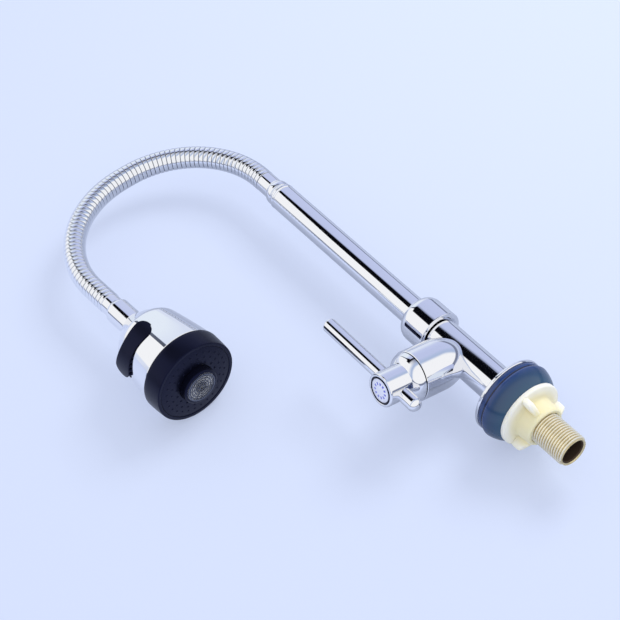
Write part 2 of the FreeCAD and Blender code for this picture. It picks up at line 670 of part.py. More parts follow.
# Handle hub: a flared skirt over the barrel's end, crossed by the lever rod
skirt_start = barrel_end + free_gap
hub_floor = skirt_start + skirt_floor
handle_hub = turned("handle_hub", [
    (0, hub_floor),
    (hub_radius + free_gap, hub_floor),
    (hub_skirt - headwork_wall, skirt_start),
    (hub_skirt, skirt_start, skirt_bend),
    (hub_radius, hub_skirt_end),
    (hub_radius, hub_end - edge_round, edge_round),
    (hub_radius - edge_round, hub_end),
    (index_radius, hub_end),
    (index_radius, hub_end - index_depth),
    (0, hub_end - index_depth),
], branch_frame)
hub_bore_end = rod_station - rod_radius - fixed_gap - free_gap
groove(handle_hub, "spline_hole", [
    (0, hub_floor),
    (spline_radius + fixed_gap, hub_floor),
    (spline_radius + fixed_gap, hub_bore_end),
    (0, hub_bore_end),
])
rod_hole = rod_radius + fixed_gap
pocket(handle_hub, "rod_hole", "YZ_Plane", lambda sketch: circle(
    sketch, 0, rod_station, rod_hole,
), hub_skirt * 2, middle=True)
pocket(handle_hub, "grub_hole", "XZ_Plane", lambda sketch: circle(
    sketch, 0, grub_station, grub_radius + fixed_gap,
), hub_skirt)

# Lever rod, domed at the bottom and chamfered at the top
rod_place = branch_turn.multVec(Vector(rod_station.number, 0, branch_height.number))
rod_frame = FreeCAD.Placement(rod_place, branch_turn)
turned("lever_rod", [
    (0, -rod_down, rod_radius),
    (rod_radius, rod_radius - rod_down),
    (rod_radius, rod_up - rod_chamfer),
    (rod_radius - rod_chamfer, rod_up),
    (0, rod_up),
], rod_frame)

# Grub screw that grips the spindle, let in from the side away from the spout's front
grub_frame = branch_frame * FreeCAD.Placement(Vector(0, 0, grub_station.number),
                                              FreeCAD.Rotation(Vector(1, 0, 0), -90))
grub_start = spline_radius + running_gap
turned("handle_grub_screw", [
    (0, grub_start),
    (grub_radius, grub_start),
    (grub_radius, hub_radius - free_gap),
    (0, hub_radius - free_gap),
], grub_frame)

# Index: a black bezel round a pale disc, let into the hub's end
index_floor = hub_end - index_depth
turned("index_bezel", [
    (index_disc_radius + fixed_gap, index_floor),
    (index_radius - fixed_gap, index_floor),
    (index_radius - fixed_gap, hub_end),
    (index_radius - fixed_gap - index_proud, hub_end + index_proud),
    (index_disc_radius + fixed_gap, hub_end + index_proud),
], branch_frame)
turned("index_disc", [
    (0, index_floor),
    (index_disc_radius, index_floor),
    (index_disc_radius, hub_end),
    (0, hub_end + index_proud),
], branch_frame)

# Swivel: the ring nut on the body's top that holds the riser foot down on its washer
washer_top = body_top + washer_height
foot_flange_top = washer_top + foot_flange_height
riser_hole = riser_radius + free_gap
turned("swivel_nut", [
    (body_radius + free_gap, swivel_nut_foot),
    (swivel_nut_radius - edge_round, swivel_nut_foot),
    (swivel_nut_radius, swivel_nut_foot + edge_round),
    (swivel_nut_radius, swivel_nut_side, swivel_nut_top - swivel_nut_side),
    (swivel_nut_lip, swivel_nut_top),
    (riser_hole, swivel_nut_top),
    (riser_hole, foot_flange_top + free_gap),
    (body_radius + free_gap, foot_flange_top + free_gap),
])
turned("swivel_washer", [
    (swivel_bore, body_top),
    (body_radius, body_top),
    (body_radius, washer_top),
    (swivel_bore, washer_top),
])

# Riser foot: a flanged spigot that turns in the body on two rubber rings
foot_radius = swivel_bore - running_gap
ring_middle = foot_radius - ring_section
foot_start = body_top - foot_depth
low_ring = foot_start + first_ring
high_ring = low_ring + ring_spacing
foot_ring_root = ring_middle - ring_section - fixed_gap
spigot_top = foot_flange_top + foot_spigot
spigot_outer = riser_radius - riser_wall - fixed_gap
foot_corners = [(foot_bore, foot_start), (foot_radius, foot_start)]
for ring_place in (low_ring, high_ring):
    foot_corners += [
        (foot_radius, ring_place - ring_section * ring_room),
        (foot_ring_root, ring_place - ring_section * ring_room),
        (foot_ring_root, ring_place + ring_section * ring_room),
        (foot_radius, ring_place + ring_section * ring_room),
    ]
foot_corners += [
    (foot_radius, washer_top),
    (foot_flange_radius, washer_top),
    (foot_flange_radius, foot_flange_top),
    (spigot_outer, foot_flange_top),
    (spigot_outer, spigot_top),
    (foot_bore, spigot_top),
]
turned("riser_foot", foot_corners)
seal_ring("riser_oring_lower", ring_middle, ring_section, low_ring)
seal_ring("riser_oring_upper", ring_middle, ring_section, high_ring)

# Riser tube and the beaded collar that carries the neck
riser_inner = riser_radius - riser_wall
turned("riser_tube", [
    (riser_inner, foot_flange_top),
    (riser_radius, foot_flange_top),
    (riser_radius, riser_top),
    (riser_inner, riser_top),
])
collar_top = riser_top + collar_height
bead_top = riser_top + bead_height
turned("riser_collar", [
    (hose_bore, riser_top - collar_spigot),
    (spigot_outer, riser_top - collar_spigot),
    (spigot_outer, riser_top),
    (bead_groove, riser_top, bead_round),
    (bead_groove, bead_top),
    (bead_radius, bead_top + free_gap),
    (bead_radius, collar_top - collar_shoulder, collar_bend),
    (collar_top_radius, collar_top),
    (hose_bore, collar_top),
])

# Ferrule sleeve round the plain lower end of the neck
ferrule_top = collar_top + ferrule_height
turned("neck_ferrule_lower", [
    (hose_tail + fixed_gap, collar_top),
    (ferrule_radius, collar_top),
    (ferrule_radius, ferrule_top),
    (hose_tail + fixed_gap, ferrule_top),
])

# Route of the neck: a straight run, two bends with a short run between, and a straight run
neck_start = Vector(0, 0, collar_top.number)
neck_parts = (
    (run_in.number, None),
    (math.radians(rise_turn.number) * rise_radius.number, rise_radius.number),
    (top_run.number, None),
    (math.radians(fall_turn.number) * fall_radius.number, fall_radius.number),
    (run_out.number, None),
)
neck_length = sum(part[0] for part in neck_parts)


def neck_point(distance):
    """Place and direction at a distance along the neck's centreline. The turn is about +Y."""
    place = neck_start
    turned_by = 0.0
    for length, bend in neck_parts:
        step = min(distance, length)
        heading = Vector(math.sin(turned_by), 0, math.cos(turned_by))
        if bend is None:
            place = place + heading * step
        else:
            inward = Vector(math.cos(turned_by), 0, -math.sin(turned_by))
            angle = step / bend
            place = place + inward * (bend * (1 - math.cos(angle))) + heading * (bend * math.sin(angle))
            turned_by += angle
        distance -= step
        if distance <= 0:
            break
    return place, Vector(math.sin(turned_by), 0, math.cos(turned_by)), turned_by


def neck_frame(distance):
    """Placement with its +Z along the neck and its +Y steady."""
    place, _, turned_by = neck_point(distance)
    return FreeCAD.Placement(place, FreeCAD.Rotation(Vector(0, 1, 0), math.degrees(turned_by)))


def neck_circle(distance, radius):
    """One section of the neck, whose own X axis always points along +Y."""
    place, heading, _ = neck_point(distance)
    section = Part.Circle(place, heading, radius)
    section.XAxis = Vector(0, 1, 0)
    return Part.Wire([section.toShape()])


def rib_profile(start, end):
    """Distances and radii of the ribs between two places: four circles to each rib."""
    count = max(1, round((end - start) / rib_pitch.number))
    step = (end - start) / count
    crest = hose_radius.number
    root = hose_radius.number - rib_depth.number
    places = (0.0, rib_crest_start.number, rib_crest_end.number, rib_foot.number)
    for index in range(count):
        for share, radius in zip(places, (root, crest, crest, root)):
            yield start + step * (index + share), radius
    yield end, root


def lofted(profile):
    return Part.makeLoft([neck_circle(distance, radius) for distance, radius in profile], True, True)


def neck_bore(start, end, radius):
    """A smooth core along the neck, through evenly spaced sections."""
    steps = max(2, round((end - start) / rib_pitch.number))
    places = [start + (end - start) * index / steps for index in range(steps + 1)]
    return lofted([(place, radius) for place in places])


bend_turn = math.radians(rise_turn.number + fall_turn.number) / section_count
bend_places = []
for section in range(1, section_count):
    angle = bend_turn * section
    rise = math.radians(rise_turn.number)
    if angle <= rise:
        bend_places.append(run_in.number + angle * rise_radius.number)
    else:
        passed = run_in.number + rise * rise_radius.number + top_run.number
        bend_places.append(passed + (angle - rise) * fall_radius.number)
print("neck length", round(neck_length, 1), "bends at", [round(place, 1) for place in bend_places])

# Neck sections: each ends in a ball at its bend and starts in a socket round the ball before it
ferrule_entry = neck_length - tail_in_ferrule.number
for section in range(section_count):
    first = section == 0
    last = section == section_count - 1
    start = 0.0 if first else bend_places[section - 1] + socket_start.number
    end = neck_length if last else bend_places[section]
    ribs_start = ferrule_height.number + free_gap.number if first else start
    ribs_end = ferrule_entry - free_gap.number if last else end
    profile = list(rib_profile(ribs_start, ribs_end))
    if first:
        profile = [(start, hose_tail.number), (ferrule_height.number, hose_tail.number)] + profile
    if last:
        profile = profile + [(ferrule_entry, hose_tail.number), (end, hose_tail.number)]
    shape = lofted(profile)
    if not last:
        shape = shape.fuse(Part.makeSphere(ball_radius.number, neck_point(end)[0]))
    if not first:
        before = neck_point(bend_places[section - 1])[0]
        shape = shape.cut(Part.makeSphere(ball_radius.number + socket_gap.number, before))
    bore_start = start if first else bend_places[section - 1]
    bore_end = end if last else end + ball_radius.number * 2
    shape = shape.cut(neck_bore(bore_start, bore_end, hose_bore.number))
    piece = doc.addObject("Part::Feature", f"neck_hose_{section + 1}")
    piece.Label = f"neck_hose_{section + 1}"
    piece.Shape = shape
    liner_start = start if first else bend_places[section - 1] + ball_radius.number + free_gap.number
    liner_end = end if last else end - liner_stop.number
    outer = neck_bore(liner_start, liner_end, hose_bore.number - free_gap.number)
    inner = neck_bore(liner_start, liner_end, hose_bore.number - free_gap.number - liner_wall.number)
    liner = doc.addObject("Part::Feature", f"neck_liner_{section + 1}")
    liner.Label = f"neck_liner_{section + 1}"
    liner.Shape = outer.cut(inner)
doc.recompute()

# Upper ferrule: a sleeve on the neck's end that carries the stem and flange of the head's swivel
head_frame = neck_frame(ferrule_entry)
coupling_start = upper_ferrule_height + free_gap
coupling_end = coupling_start + coupling_length
flange_start = coupling_start + coupling_lip + running_gap
flange_end = flange_start + stem_flange_height
turned("neck_ferrule_upper", [
    (hose_tail + fixed_gap, 0),
    (upper_ferrule_radius, 0),
    (upper_ferrule_radius, upper_ferrule_height),
    (stem_radius, upper_ferrule_height),
    (stem_radius, flange_start),
    (stem_flange_radius, flange_start),
    (stem_flange_radius, flange_end),
    (stem_bore, flange_end),
    (stem_bore, tail_in_ferrule),
    (hose_tail + fixed_gap, tail_in_ferrule),
], head_frame)

# Coupling nut, screwed on the bell's inlet round the stem's flange
turned("head_coupling", [
    (stem_radius + free_gap, coupling_start),
    (coupling_radius - coupling_round, coupling_start, coupling_round),
    (coupling_radius, coupling_start + coupling_round),
    (coupling_radius, coupling_end),
    (coupling_bore, coupling_end),
    (coupling_bore, coupling_start + coupling_lip),
    (stem_radius + free_gap, coupling_start + coupling_lip),
], head_frame)
washer_end = flange_end + head_washer_height
turned("head_washer", [
    (stem_bore, flange_end),
    (stem_flange_radius, flange_end),
    (stem_flange_radius, washer_end),
    (stem_bore, washer_end),
], head_frame)

# Bell: a chromed shell with a cone and a rounded shoulder, an inlet spigot and a window for the rocker
rocker_turn = FreeCAD.Placement(Vector(), FreeCAD.Rotation(Vector(0, 0, 1), 180 - rocker_angle.number))
spray_frame = head_frame * rocker_turn
bell_top = coupling_end + bell_start
shoulder_station = bell_top + bell_shoulder
rim_station = bell_top + bell_length
cone_station = bell_top + bell_cone
cone_lean = math.atan2((bell_cone_radius - bell_top_radius).number, bell_cone.number)
inner_top = bell_top + bell_wall
inner_cone_radius = bell_cone_radius - bell_wall * math.cos(cone_lean)
inner_cone_station = cone_station + bell_wall * math.sin(cone_lean)
inner_top_radius = inner_cone_radius - (inner_cone_station - inner_top) * math.tan(cone_lean)
bell_shell = turned("bell_shell", [
    (bell_bore, washer_end),
    (coupling_bore - fixed_gap, washer_end),
    (coupling_bore - fixed_gap, bell_top),
    (bell_top_radius, bell_top),
    (bell_cone_radius, cone_station, bell_bend),
    (bell_shoulder_radius, shoulder_station, bell_flank),
    (bell_rim_radius, rim_station),
    (bell_rim_radius - bell_wall, rim_station, -bell_flank),
    (bell_shoulder_radius - bell_wall, shoulder_station + bell_wall / 4, bell_wall - bell_bend),
    (inner_cone_radius, inner_cone_station),
    (inner_top_radius, inner_top),
    (bell_bore, inner_top),
], spray_frame)
rocker_station = bell_top + rocker_middle
window_low = rocker_station - rocker_width / 2 - window_gap
window_high = rocker_station + rocker_width / 2 + window_gap
groove(bell_shell, "rocker_window", [
    (core_radius + lug_radius, window_low),
    (bell_rim_radius + bell_wall, window_low),
    (bell_rim_radius + bell_wall, window_high),
    (core_radius + lug_radius, window_high),
], rocker_span + window_play)

# Diverter housing: a moulded core from the bell's top to the spray chamber, with lugs for the pin
flange_station = rim_station - face_ring_tongue - core_flange_height - free_gap
core_end = flange_station + core_flange_height
outlet_end = core_end + face_ring_tongue
diverter_housing = turned("diverter_housing", [
    (0, inner_top + running_gap),
    (inner_top_radius - free_gap, inner_top + running_gap),
    (core_radius, window_low - bell_wall),
    (core_radius, flange_station),
    (core_flange, flange_station),
    (core_flange, core_end),
    (core_outlet, core_end),
    (core_outlet, outlet_end),
    (0, outlet_end),
], spray_frame)
lug_gap = rocker_boss * 2 + free_gap * 2
upper_lug = rocker_station - lug_gap / 2 - lug_thickness
lower_lug = rocker_station + lug_gap / 2
for side, low in (("upper", upper_lug), ("lower", lower_lug)):
    pad(diverter_housing, f"lug_{side}", "XY_Plane", lambda sketch: outline(sketch, [
        (core_radius - lug_radius, -lug_radius),
        (pin_distance, -lug_radius, lug_radius + half_round_slack),
        (pin_distance, lug_radius),
        (core_radius - lug_radius, lug_radius),
    ]), lug_thickness, lift=low)
pocket(diverter_housing, "pin_hole", "XY_Plane", lambda sketch: circle(
    sketch, pin_distance, 0, pin_radius + fixed_gap,
), pin_length * 2, lift=rocker_station, middle=True)
spool_place = pin_distance - spool_arm
spool_hole = spool_radius + free_gap
pocket(diverter_housing, "spool_bore", "XZ_Plane", lambda sketch: circle(
    sketch, spool_place, rocker_station, spool_hole,
), core_radius * 2, middle=True)
finger_room = finger_width / 2 + finger_play
slot_room = spool_slot / 2 + slot_play
pocket(diverter_housing, "finger_slot", "YZ_Plane", lambda sketch: box_outline(
    sketch, -slot_room, rocker_station - finger_room, slot_room, rocker_station + finger_room,
), core_radius - spool_place + spool_radius, lift=core_radius + fixed_gap)
groove(diverter_housing, "inlet_hole", [
    (0, inner_top),
    (bell_bore, inner_top),
    (bell_bore, window_low - bell_wall),
    (0, window_low - bell_wall),
])

# Rocker: a black moulded bar on a pin, tipped one way at rest, with a finger in the spool
tilt = FreeCAD.Placement(Vector(), FreeCAD.Rotation(Vector(0, 0, 1), -rocker_tilt.number),
                         Vector(pin_distance.number, 0, 0))
rocker_frame = spray_frame * tilt
rocker_low = rocker_station - rocker_width / 2
rocker_high = rocker_station + rocker_width / 2
diverter_rocker = make_body("diverter_rocker")
rocker_profile = add_sketch(diverter_rocker, "rocker_profile")
outline(rocker_profile, [
    (rocker_outer - rocker_thickness, rocker_low),
    (rocker_outer - rocker_edge, rocker_low, rocker_edge),
    (rocker_outer, rocker_low + rocker_edge),
    (rocker_outer, rocker_high - rocker_edge, rocker_edge),
    (rocker_outer - rocker_edge, rocker_high),
    (rocker_outer - rocker_thickness, rocker_high),
])
turn(diverter_rocker, rocker_profile, "rocker_plate", angle=rocker_span)


def draw_waists(sketch):
    """Two round bites that narrow the rocker at its middle."""
    circle(sketch, 0, rocker_low - rocker_waist_radius + rocker_waist, rocker_waist_radius)
    circle(sketch, 0, rocker_high + rocker_waist_radius - rocker_waist, rocker_waist_radius)


pocket(diverter_rocker, "waists", "YZ_Plane", draw_waists, rocker_outer * 2, middle=True)
web_height = lug_gap - free_gap * 2


def draw_web(sketch):
    """The boss round the pin, with its web out to the plate."""
    outline(sketch, [
        (pin_distance, rocker_boss, rocker_boss + half_round_slack),
        (pin_distance, -rocker_boss),
        (rocker_outer - rocker_edge, -rocker_boss),
        (rocker_outer - rocker_edge, rocker_boss),
    ])


web_low = rocker_station - web_height / 2
pad(diverter_rocker, "web", "XY_Plane", draw_web, web_height, lift=web_low)
finger_tip = spool_place - finger_reach
pad(diverter_rocker, "finger", "XY_Plane", lambda sketch: box_outline(
    sketch, finger_tip, -finger_thickness / 2, pin_distance - pin_radius, finger_thickness / 2,
), finger_width, lift=rocker_station - finger_width / 2)
pocket(diverter_rocker, "pivot_hole", "XY_Plane", lambda sketch: circle(
    sketch, pin_distance, 0, pin_radius + running_gap,
), pin_length * 2, lift=rocker_station, middle=True)
diverter_rocker.Placement = rocker_frame
turned("rocker_pin", [
    (0, rocker_station - pin_length / 2),
    (pin_radius, rocker_station - pin_length / 2),
    (pin_radius, rocker_station + pin_length / 2),
    (0, rocker_station + pin_length / 2),
], spray_frame * FreeCAD.Placement(Vector(pin_distance.number, 0, 0), FreeCAD.Rotation()))

# Spool: a small shuttle across the core, with a slot for the finger and a ring near each end
spool_shift = spool_arm.number * math.radians(rocker_tilt.number)
spool_rest = Vector(spool_place.number, spool_shift, rocker_station.number)
spool_frame = spray_frame * FreeCAD.Placement(spool_rest, FreeCAD.Rotation(Vector(1, 0, 0), -90))
spool_ring_middle = spool_hole - running_gap - spool_ring_section
spool_ring_root = spool_ring_middle - spool_ring_section - fixed_gap
spool_corners = [(0, -spool_length / 2), (spool_radius, -spool_length / 2)]
for ring_place in (-spool_ring_place, spool_ring_place):
    spool_corners += [
        (spool_radius, ring_place - spool_ring_section * ring_room),
        (spool_ring_root, ring_place - spool_ring_section * ring_room),
        (spool_ring_root, ring_place + spool_ring_section * ring_room),
        (spool_radius, ring_place + spool_ring_section * ring_room),
    ]
spool_corners += [(spool_radius, spool_length / 2), (0, spool_length / 2)]
diverter_spool = turned("diverter_spool", spool_corners, spool_frame)
slot_height = finger_width / 2 + free_gap
pocket(diverter_spool, "finger_slot_in_spool", "YZ_Plane", lambda sketch: box_outline(
    sketch, -slot_height, -spool_slot / 2, slot_height, spool_slot / 2,
), spool_radius * 3, middle=True)
seal_ring("spool_oring_left", spool_ring_middle, spool_ring_section, -spool_ring_place, spool_frame)
seal_ring("spool_oring_right", spool_ring_middle, spool_ring_section, spool_ring_place, spool_frame)

# Face ring: the black rim of the spray face, with a tongue inside the bell and a ledge for the plate
face_start = rim_station + free_gap
face_end = face_start + face_ring_length
tongue_radius = bell_rim_radius - bell_wall - tongue_gap
ledge_station = face_end - plate_seat
turned("face_ring", [
    (face_ring_ledge, face_start - face_ring_tongue),
    (tongue_radius - free_gap, face_start - face_ring_tongue),
    (tongue_radius, face_start),
    (bell_rim_radius + free_gap, face_start, face_ring_flank),
    (face_ring_radius, face_end - face_edge, face_edge),
    (face_ring_radius - face_edge, face_end),
    (face_ring_radius - face_ring_wall, face_end),
    (face_ring_radius - face_ring_wall, ledge_station),
    (face_ring_ledge, ledge_station),
], spray_frame)

# Nozzle plate: a slightly crowned disc with three rings of small nozzles
plate_outer = face_ring_radius - face_ring_wall - fixed_gap
plate_inner = aerator_radius + fixed_gap
plate_front = ledge_station + plate_height
nozzle_plate = turned("nozzle_plate", [
    (plate_inner, ledge_station),
    (plate_outer, ledge_station),
    (plate_outer, plate_front, crown_bend),
    (plate_inner, plate_front + plate_crown),
], spray_frame)
nozzle_ring_count = 3
inner_ring_nozzles = 16
extra_nozzles = 6
for ring_index in range(nozzle_ring_count):
    place = plate_inner + first_nozzle + nozzle_spacing * ring_index
    rise = plate_crown - crown_step * ring_index
    nozzle = pad(nozzle_plate, f"nozzle_{ring_index + 1}", "XY_Plane", lambda sketch: circle(
        sketch, place, 0, nozzle_radius,
    ), plate_height / 2 + rise + nozzle_height, lift=plate_front - plate_height / 2)
    nozzle_count = inner_ring_nozzles + extra_nozzles * ring_index
    repeat_round(nozzle_plate, f"nozzle_ring_{ring_index + 1}", nozzle, nozzle_count)

# Aerator: its housing stands out of the face, and holds an insert under a round of fine mesh
aerator_end = face_end + aerator_proud
aerator_start = outlet_end - outlet_lap
aerator_bore = aerator_radius - aerator_wall
turned("aerator_housing", [
    (core_outlet + fixed_gap, aerator_start),
    (aerator_radius, aerator_start),
    (aerator_radius, aerator_end - face_edge, face_edge),
    (aerator_radius - face_edge, aerator_end),
    (aerator_bore, aerator_end),
    (aerator_bore, outlet_end + insert_lift),
    (core_outlet + fixed_gap, outlet_end + insert_lift),
], spray_frame)
insert_start = outlet_end + insert_lift
insert_end = aerator_end - free_gap
turned("aerator_insert", [
    (insert_bore, insert_start),
    (aerator_bore - fixed_gap, insert_start),
    (aerator_bore - fixed_gap, insert_end),
    (insert_bore, insert_end),
], spray_frame)
turned("aerator_mesh", [
    (0, insert_end),
    (aerator_bore - fixed_gap, insert_end),
    (aerator_bore - fixed_gap, insert_end + mesh_height / 2),
    (aerator_bore - mesh_chamfer, insert_end + mesh_height),
    (0, insert_end + mesh_height),
], spray_frame)

doc.recompute()
failed = [item.Label for item in doc.Objects if {"Invalid", "Error"} & set(item.State)]
if failed:
    raise ValueError("these features failed: " + ", ".join(failed))
neck_labels = ("neck_hose", "neck_liner")
pieces = []
for item in doc.Objects:
    if item.TypeId == "PartDesign::Body" or item.Label.startswith(neck_labels):
        pieces.append(item)
for piece in pieces:
    if piece.Shape.isNull() or not piece.Shape.isValid() or piece.Shape.Volume <= 0:
        raise ValueError(f"{piece.Label} is not a sound solid")
os.makedirs("parts", exist_ok=True)
for piece in pieces:
    piece.Shape.exportStep(f"parts/{piece.Label}.step")
print(len(pieces), "pieces written")
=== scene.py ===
import json
import math

import bpy
from mathutils import Matrix, Vector


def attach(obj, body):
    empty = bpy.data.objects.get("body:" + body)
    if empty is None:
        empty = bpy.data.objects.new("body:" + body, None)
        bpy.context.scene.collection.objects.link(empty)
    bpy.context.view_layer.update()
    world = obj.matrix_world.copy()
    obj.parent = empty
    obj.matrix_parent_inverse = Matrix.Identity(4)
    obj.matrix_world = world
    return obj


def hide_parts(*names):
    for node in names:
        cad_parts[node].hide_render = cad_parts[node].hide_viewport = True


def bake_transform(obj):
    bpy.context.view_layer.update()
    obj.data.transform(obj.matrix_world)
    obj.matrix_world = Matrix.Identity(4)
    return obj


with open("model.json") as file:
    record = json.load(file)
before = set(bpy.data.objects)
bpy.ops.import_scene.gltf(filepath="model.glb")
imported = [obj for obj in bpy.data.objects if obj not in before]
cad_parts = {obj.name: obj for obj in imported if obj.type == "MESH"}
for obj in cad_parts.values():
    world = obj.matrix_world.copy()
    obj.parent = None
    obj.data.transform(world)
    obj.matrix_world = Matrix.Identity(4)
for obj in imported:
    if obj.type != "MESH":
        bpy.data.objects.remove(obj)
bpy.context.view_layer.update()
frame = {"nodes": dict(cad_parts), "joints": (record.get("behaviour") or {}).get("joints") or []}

# Camera. The tap lies on its side on a table and is seen from above, past the spray face.
# The lens, place and turn were fitted to the edges of the shank, riser, barrel and head.
# It is a short telephoto lens at just under a metre.
PHOTO_WIDTH = 620
LENS_PIXELS = 1600
SENSOR = 36
CAMERA_PLACE = (0.3804, 0.76297, -0.43622)
CAMERA_TURN = (136.0776, 36.6593, -171.7692)
camera_data = bpy.data.cameras.new("photo_camera")
camera_data.sensor_width = SENSOR
camera_data.lens = LENS_PIXELS / PHOTO_WIDTH * SENSOR
camera = bpy.data.objects.new("photo_camera", camera_data)
camera.location = CAMERA_PLACE
camera.rotation_euler = [math.radians(turn) for turn in CAMERA_TURN]
bpy.context.scene.collection.objects.link(camera)
bpy.context.scene.camera = camera


# Inlet shank: a brass tube with a G1/2 thread cut along it, turned bright and left unplated.
# The thread is one tooth wound by a screw, and the mouth is chamfered for the supply union.
# Its spigot is pressed up into the tap body.
def linear(hex_colour):
    """Turn an sRGB hex value into linear RGBA."""
    shares = [int(hex_colour[i:i + 2], 16) / 255 for i in (1, 3, 5)]
    return [c / 12.92 if c <= 0.04045 else ((c + 0.055) / 1.055) ** 2.4 for c in shares] + [1.0]


def add_node(material, kind, inputs=None, **settings):
    """Add one node, with its settings, and fill or feed its inputs."""
    tree = material.node_tree
    made = tree.nodes.new(kind)
    for name, value in settings.items():
        setattr(made, name, value)
    for name, value in (inputs or {}).items():
        wanted = [socket for socket in made.inputs if socket.enabled and socket.name == name]
        socket = made.inputs[name] if isinstance(name, int) else wanted[0]
        if isinstance(value, bpy.types.NodeSocket):
            tree.links.new(value, socket)
        else:
            socket.default_value = value
    return made


def new_material(name, hex_colour, **shader_values):
    """A material with its colour and constants set on the shader's own sockets."""
    material = bpy.data.materials.new(name)
    material.use_nodes = True
    shader = material.node_tree.nodes["Principled BSDF"]
    shader.inputs["Base Color"].default_value = linear(hex_colour)
    for socket, value in shader_values.items():
        shader.inputs[socket.replace("_", " ")].default_value = value
    return material, shader


def feed(material, source, shader, socket):
    material.node_tree.links.new(source, shader.inputs[socket])


def own_place(material):
    """A point's place in the piece's own coordinates."""
    return add_node(material, "ShaderNodeTexCoord").outputs["Object"]


def surface_noise(material, grain_mm, detail=3.0):
    """Noise from 0 to 1 whose grain has a real size."""
    return add_node(material, "ShaderNodeTexNoise", {
        "Vector": own_place(material), "Scale": 1 / (grain_mm * MM), "Detail": detail,
    }).outputs["Fac"]


def spread(material, source, low, high):
    """Map a 0 to 1 value on to a range."""
    return add_node(material, "ShaderNodeMapRange", {
        "Value": source, "To Min": low, "To Max": high,
    }).outputs["Result"]


def between(material, source, low, high):
    """Map a range on to 0 to 1."""
    return add_node(material, "ShaderNodeMapRange", {
        "Value": source, "From Min": low, "From Max": high,
    }).outputs["Result"]


def mixed(material, share, first, second):
    """Go from a first colour to a second one."""
    return add_node(material, "ShaderNodeMix", {"Factor": share, "A": first, "B": second},
                    data_type="RGBA").outputs[2]


def calc(material, operation, *values):
    """One step of arithmetic on sockets and numbers."""
    return add_node(material, "ShaderNodeMath", dict(enumerate(values)), operation=operation).outputs["Value"]


def axis_distance(material):
    """How far a point lies from the tap's upright axis."""
    flat = add_node(material, "ShaderNodeVectorMath", {0: own_place(material), 1: (1, 1, 0)},
                    operation="MULTIPLY")
    return add_node(material, "ShaderNodeVectorMath", {0: flat.outputs["Vector"]},
                    operation="LENGTH").outputs["Value"]


def deselect():
    if bpy.context.object and bpy.context.object.mode != "OBJECT":
        bpy.ops.object.mode_set(mode="OBJECT")
    bpy.ops.object.select_all(action="DESELECT")


def pick(piece):
    """Select this piece alone and make it active."""
    deselect()
    piece.select_set(True)
    bpy.context.view_layer.objects.active = piece


def braced(profile):
    """Add a point near both ends of every long stretch, so that its shading stays straight."""
    points = [profile[0]]
    for (r0, z0), (r1, z1) in zip(profile, profile[1:]):
        length = math.hypot(r1 - r0, z1 - z0)
        for share in (BRACE / length, 1 - BRACE / length) if length > LONG_STRETCH else ():
            points.append((r0 + (r1 - r0) * share, z0 + (z1 - z0) * share))
        points.append((r1, z1))
    return points


def lathe(name, profile, closed=True, steps=96, place=None):
    """Turn a profile of (radius, height) in mm about Z, by extruding and resizing a ring."""
    profile = braced(profile)
    deselect()
    radius, height = profile[0]
    start = max(radius, 0.001)
    bpy.ops.mesh.primitive_circle_add(vertices=steps, radius=start * MM, location=(0, 0, 0),
                                      enter_editmode=True)
    bpy.ops.transform.translate(value=(0, 0, height * MM))
    last = start
    for r, z in list(profile[1:]) + ([profile[0]] if closed else []):
        r = max(r, 0.001)
        bpy.ops.mesh.extrude_edges_move(TRANSFORM_OT_translate={"value": (0, 0, (z - height) * MM)})
        bpy.ops.transform.resize(value=(r / last, r / last, 1), center_override=(0, 0, 0))
        last, height = r, z
    bpy.ops.mesh.select_all(action="SELECT")
    bpy.ops.mesh.remove_doubles(threshold=0.004 * MM)
    bpy.ops.mesh.normals_make_consistent(inside=False)
    bpy.ops.object.mode_set(mode="OBJECT")
    piece = bpy.context.object
    piece.name = name
    settle(piece, place)
    return piece


def settle(piece, place=None):
    """Put the piece's place and turn into its mesh."""
    pick(piece)
    if place is not None:
        piece.matrix_world = place @ piece.matrix_world
    bpy.ops.object.transform_apply(location=True, rotation=True, scale=True)


def modify(piece, kind, **settings):
    """Add a modifier with these settings and apply it."""
    pick(piece)
    modifier = piece.modifiers.new(kind.lower(), kind)
    for name, value in settings.items():
        setattr(modifier, name, value)
    bpy.ops.object.modifier_apply(modifier=modifier.name)


def soften(piece, width_mm, segments=3, angle=30):
    """Round the sharp edges by a real width, then shade the rest smooth."""
    modify(piece, "BEVEL", width=width_mm * MM, segments=segments, limit_method="ANGLE",
           angle_limit=math.radians(angle), use_clamp_overlap=True)
    smooth(piece)


def smooth(piece, angle=32):
    pick(piece)
    bpy.ops.object.shade_smooth_by_angle(angle=math.radians(angle))


def dress(piece, material, slot, body, *replaced):
    """Give a finished piece its material and body, and hide the nodes that it stands for. The slot is not
    used.
    """
    piece.data.materials.clear()
    piece.data.materials.append(material)
    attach(piece, body)
    if replaced:
        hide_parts(*replaced)


MM = 0.001
BRACE = 0.3
LONG_STRETCH = 4
THREAD_RADIUS = 10.4775
THREAD_PITCH = 1.814
THREAD_DEPTH = 1.16
THREAD_TOP = -8
TURNS = 16
SHANK_LENGTH = 39
SHANK_BORE = 7.5
MOUTH_RADIUS = 9.1
MOUTH_DEPTH = 1.5
GASKET_HEIGHT = 17
SPIGOT_RADIUS = 9.0
SPIGOT_TOP = 31
BORE_SHADE_RADIUS = 8.3
CREST_START = 9.45
CREST_FULL = 10.1
root_radius = THREAD_RADIUS - THREAD_DEPTH
core_radius = root_radius + 0.1
plain_radius = THREAD_RADIUS - 0.4
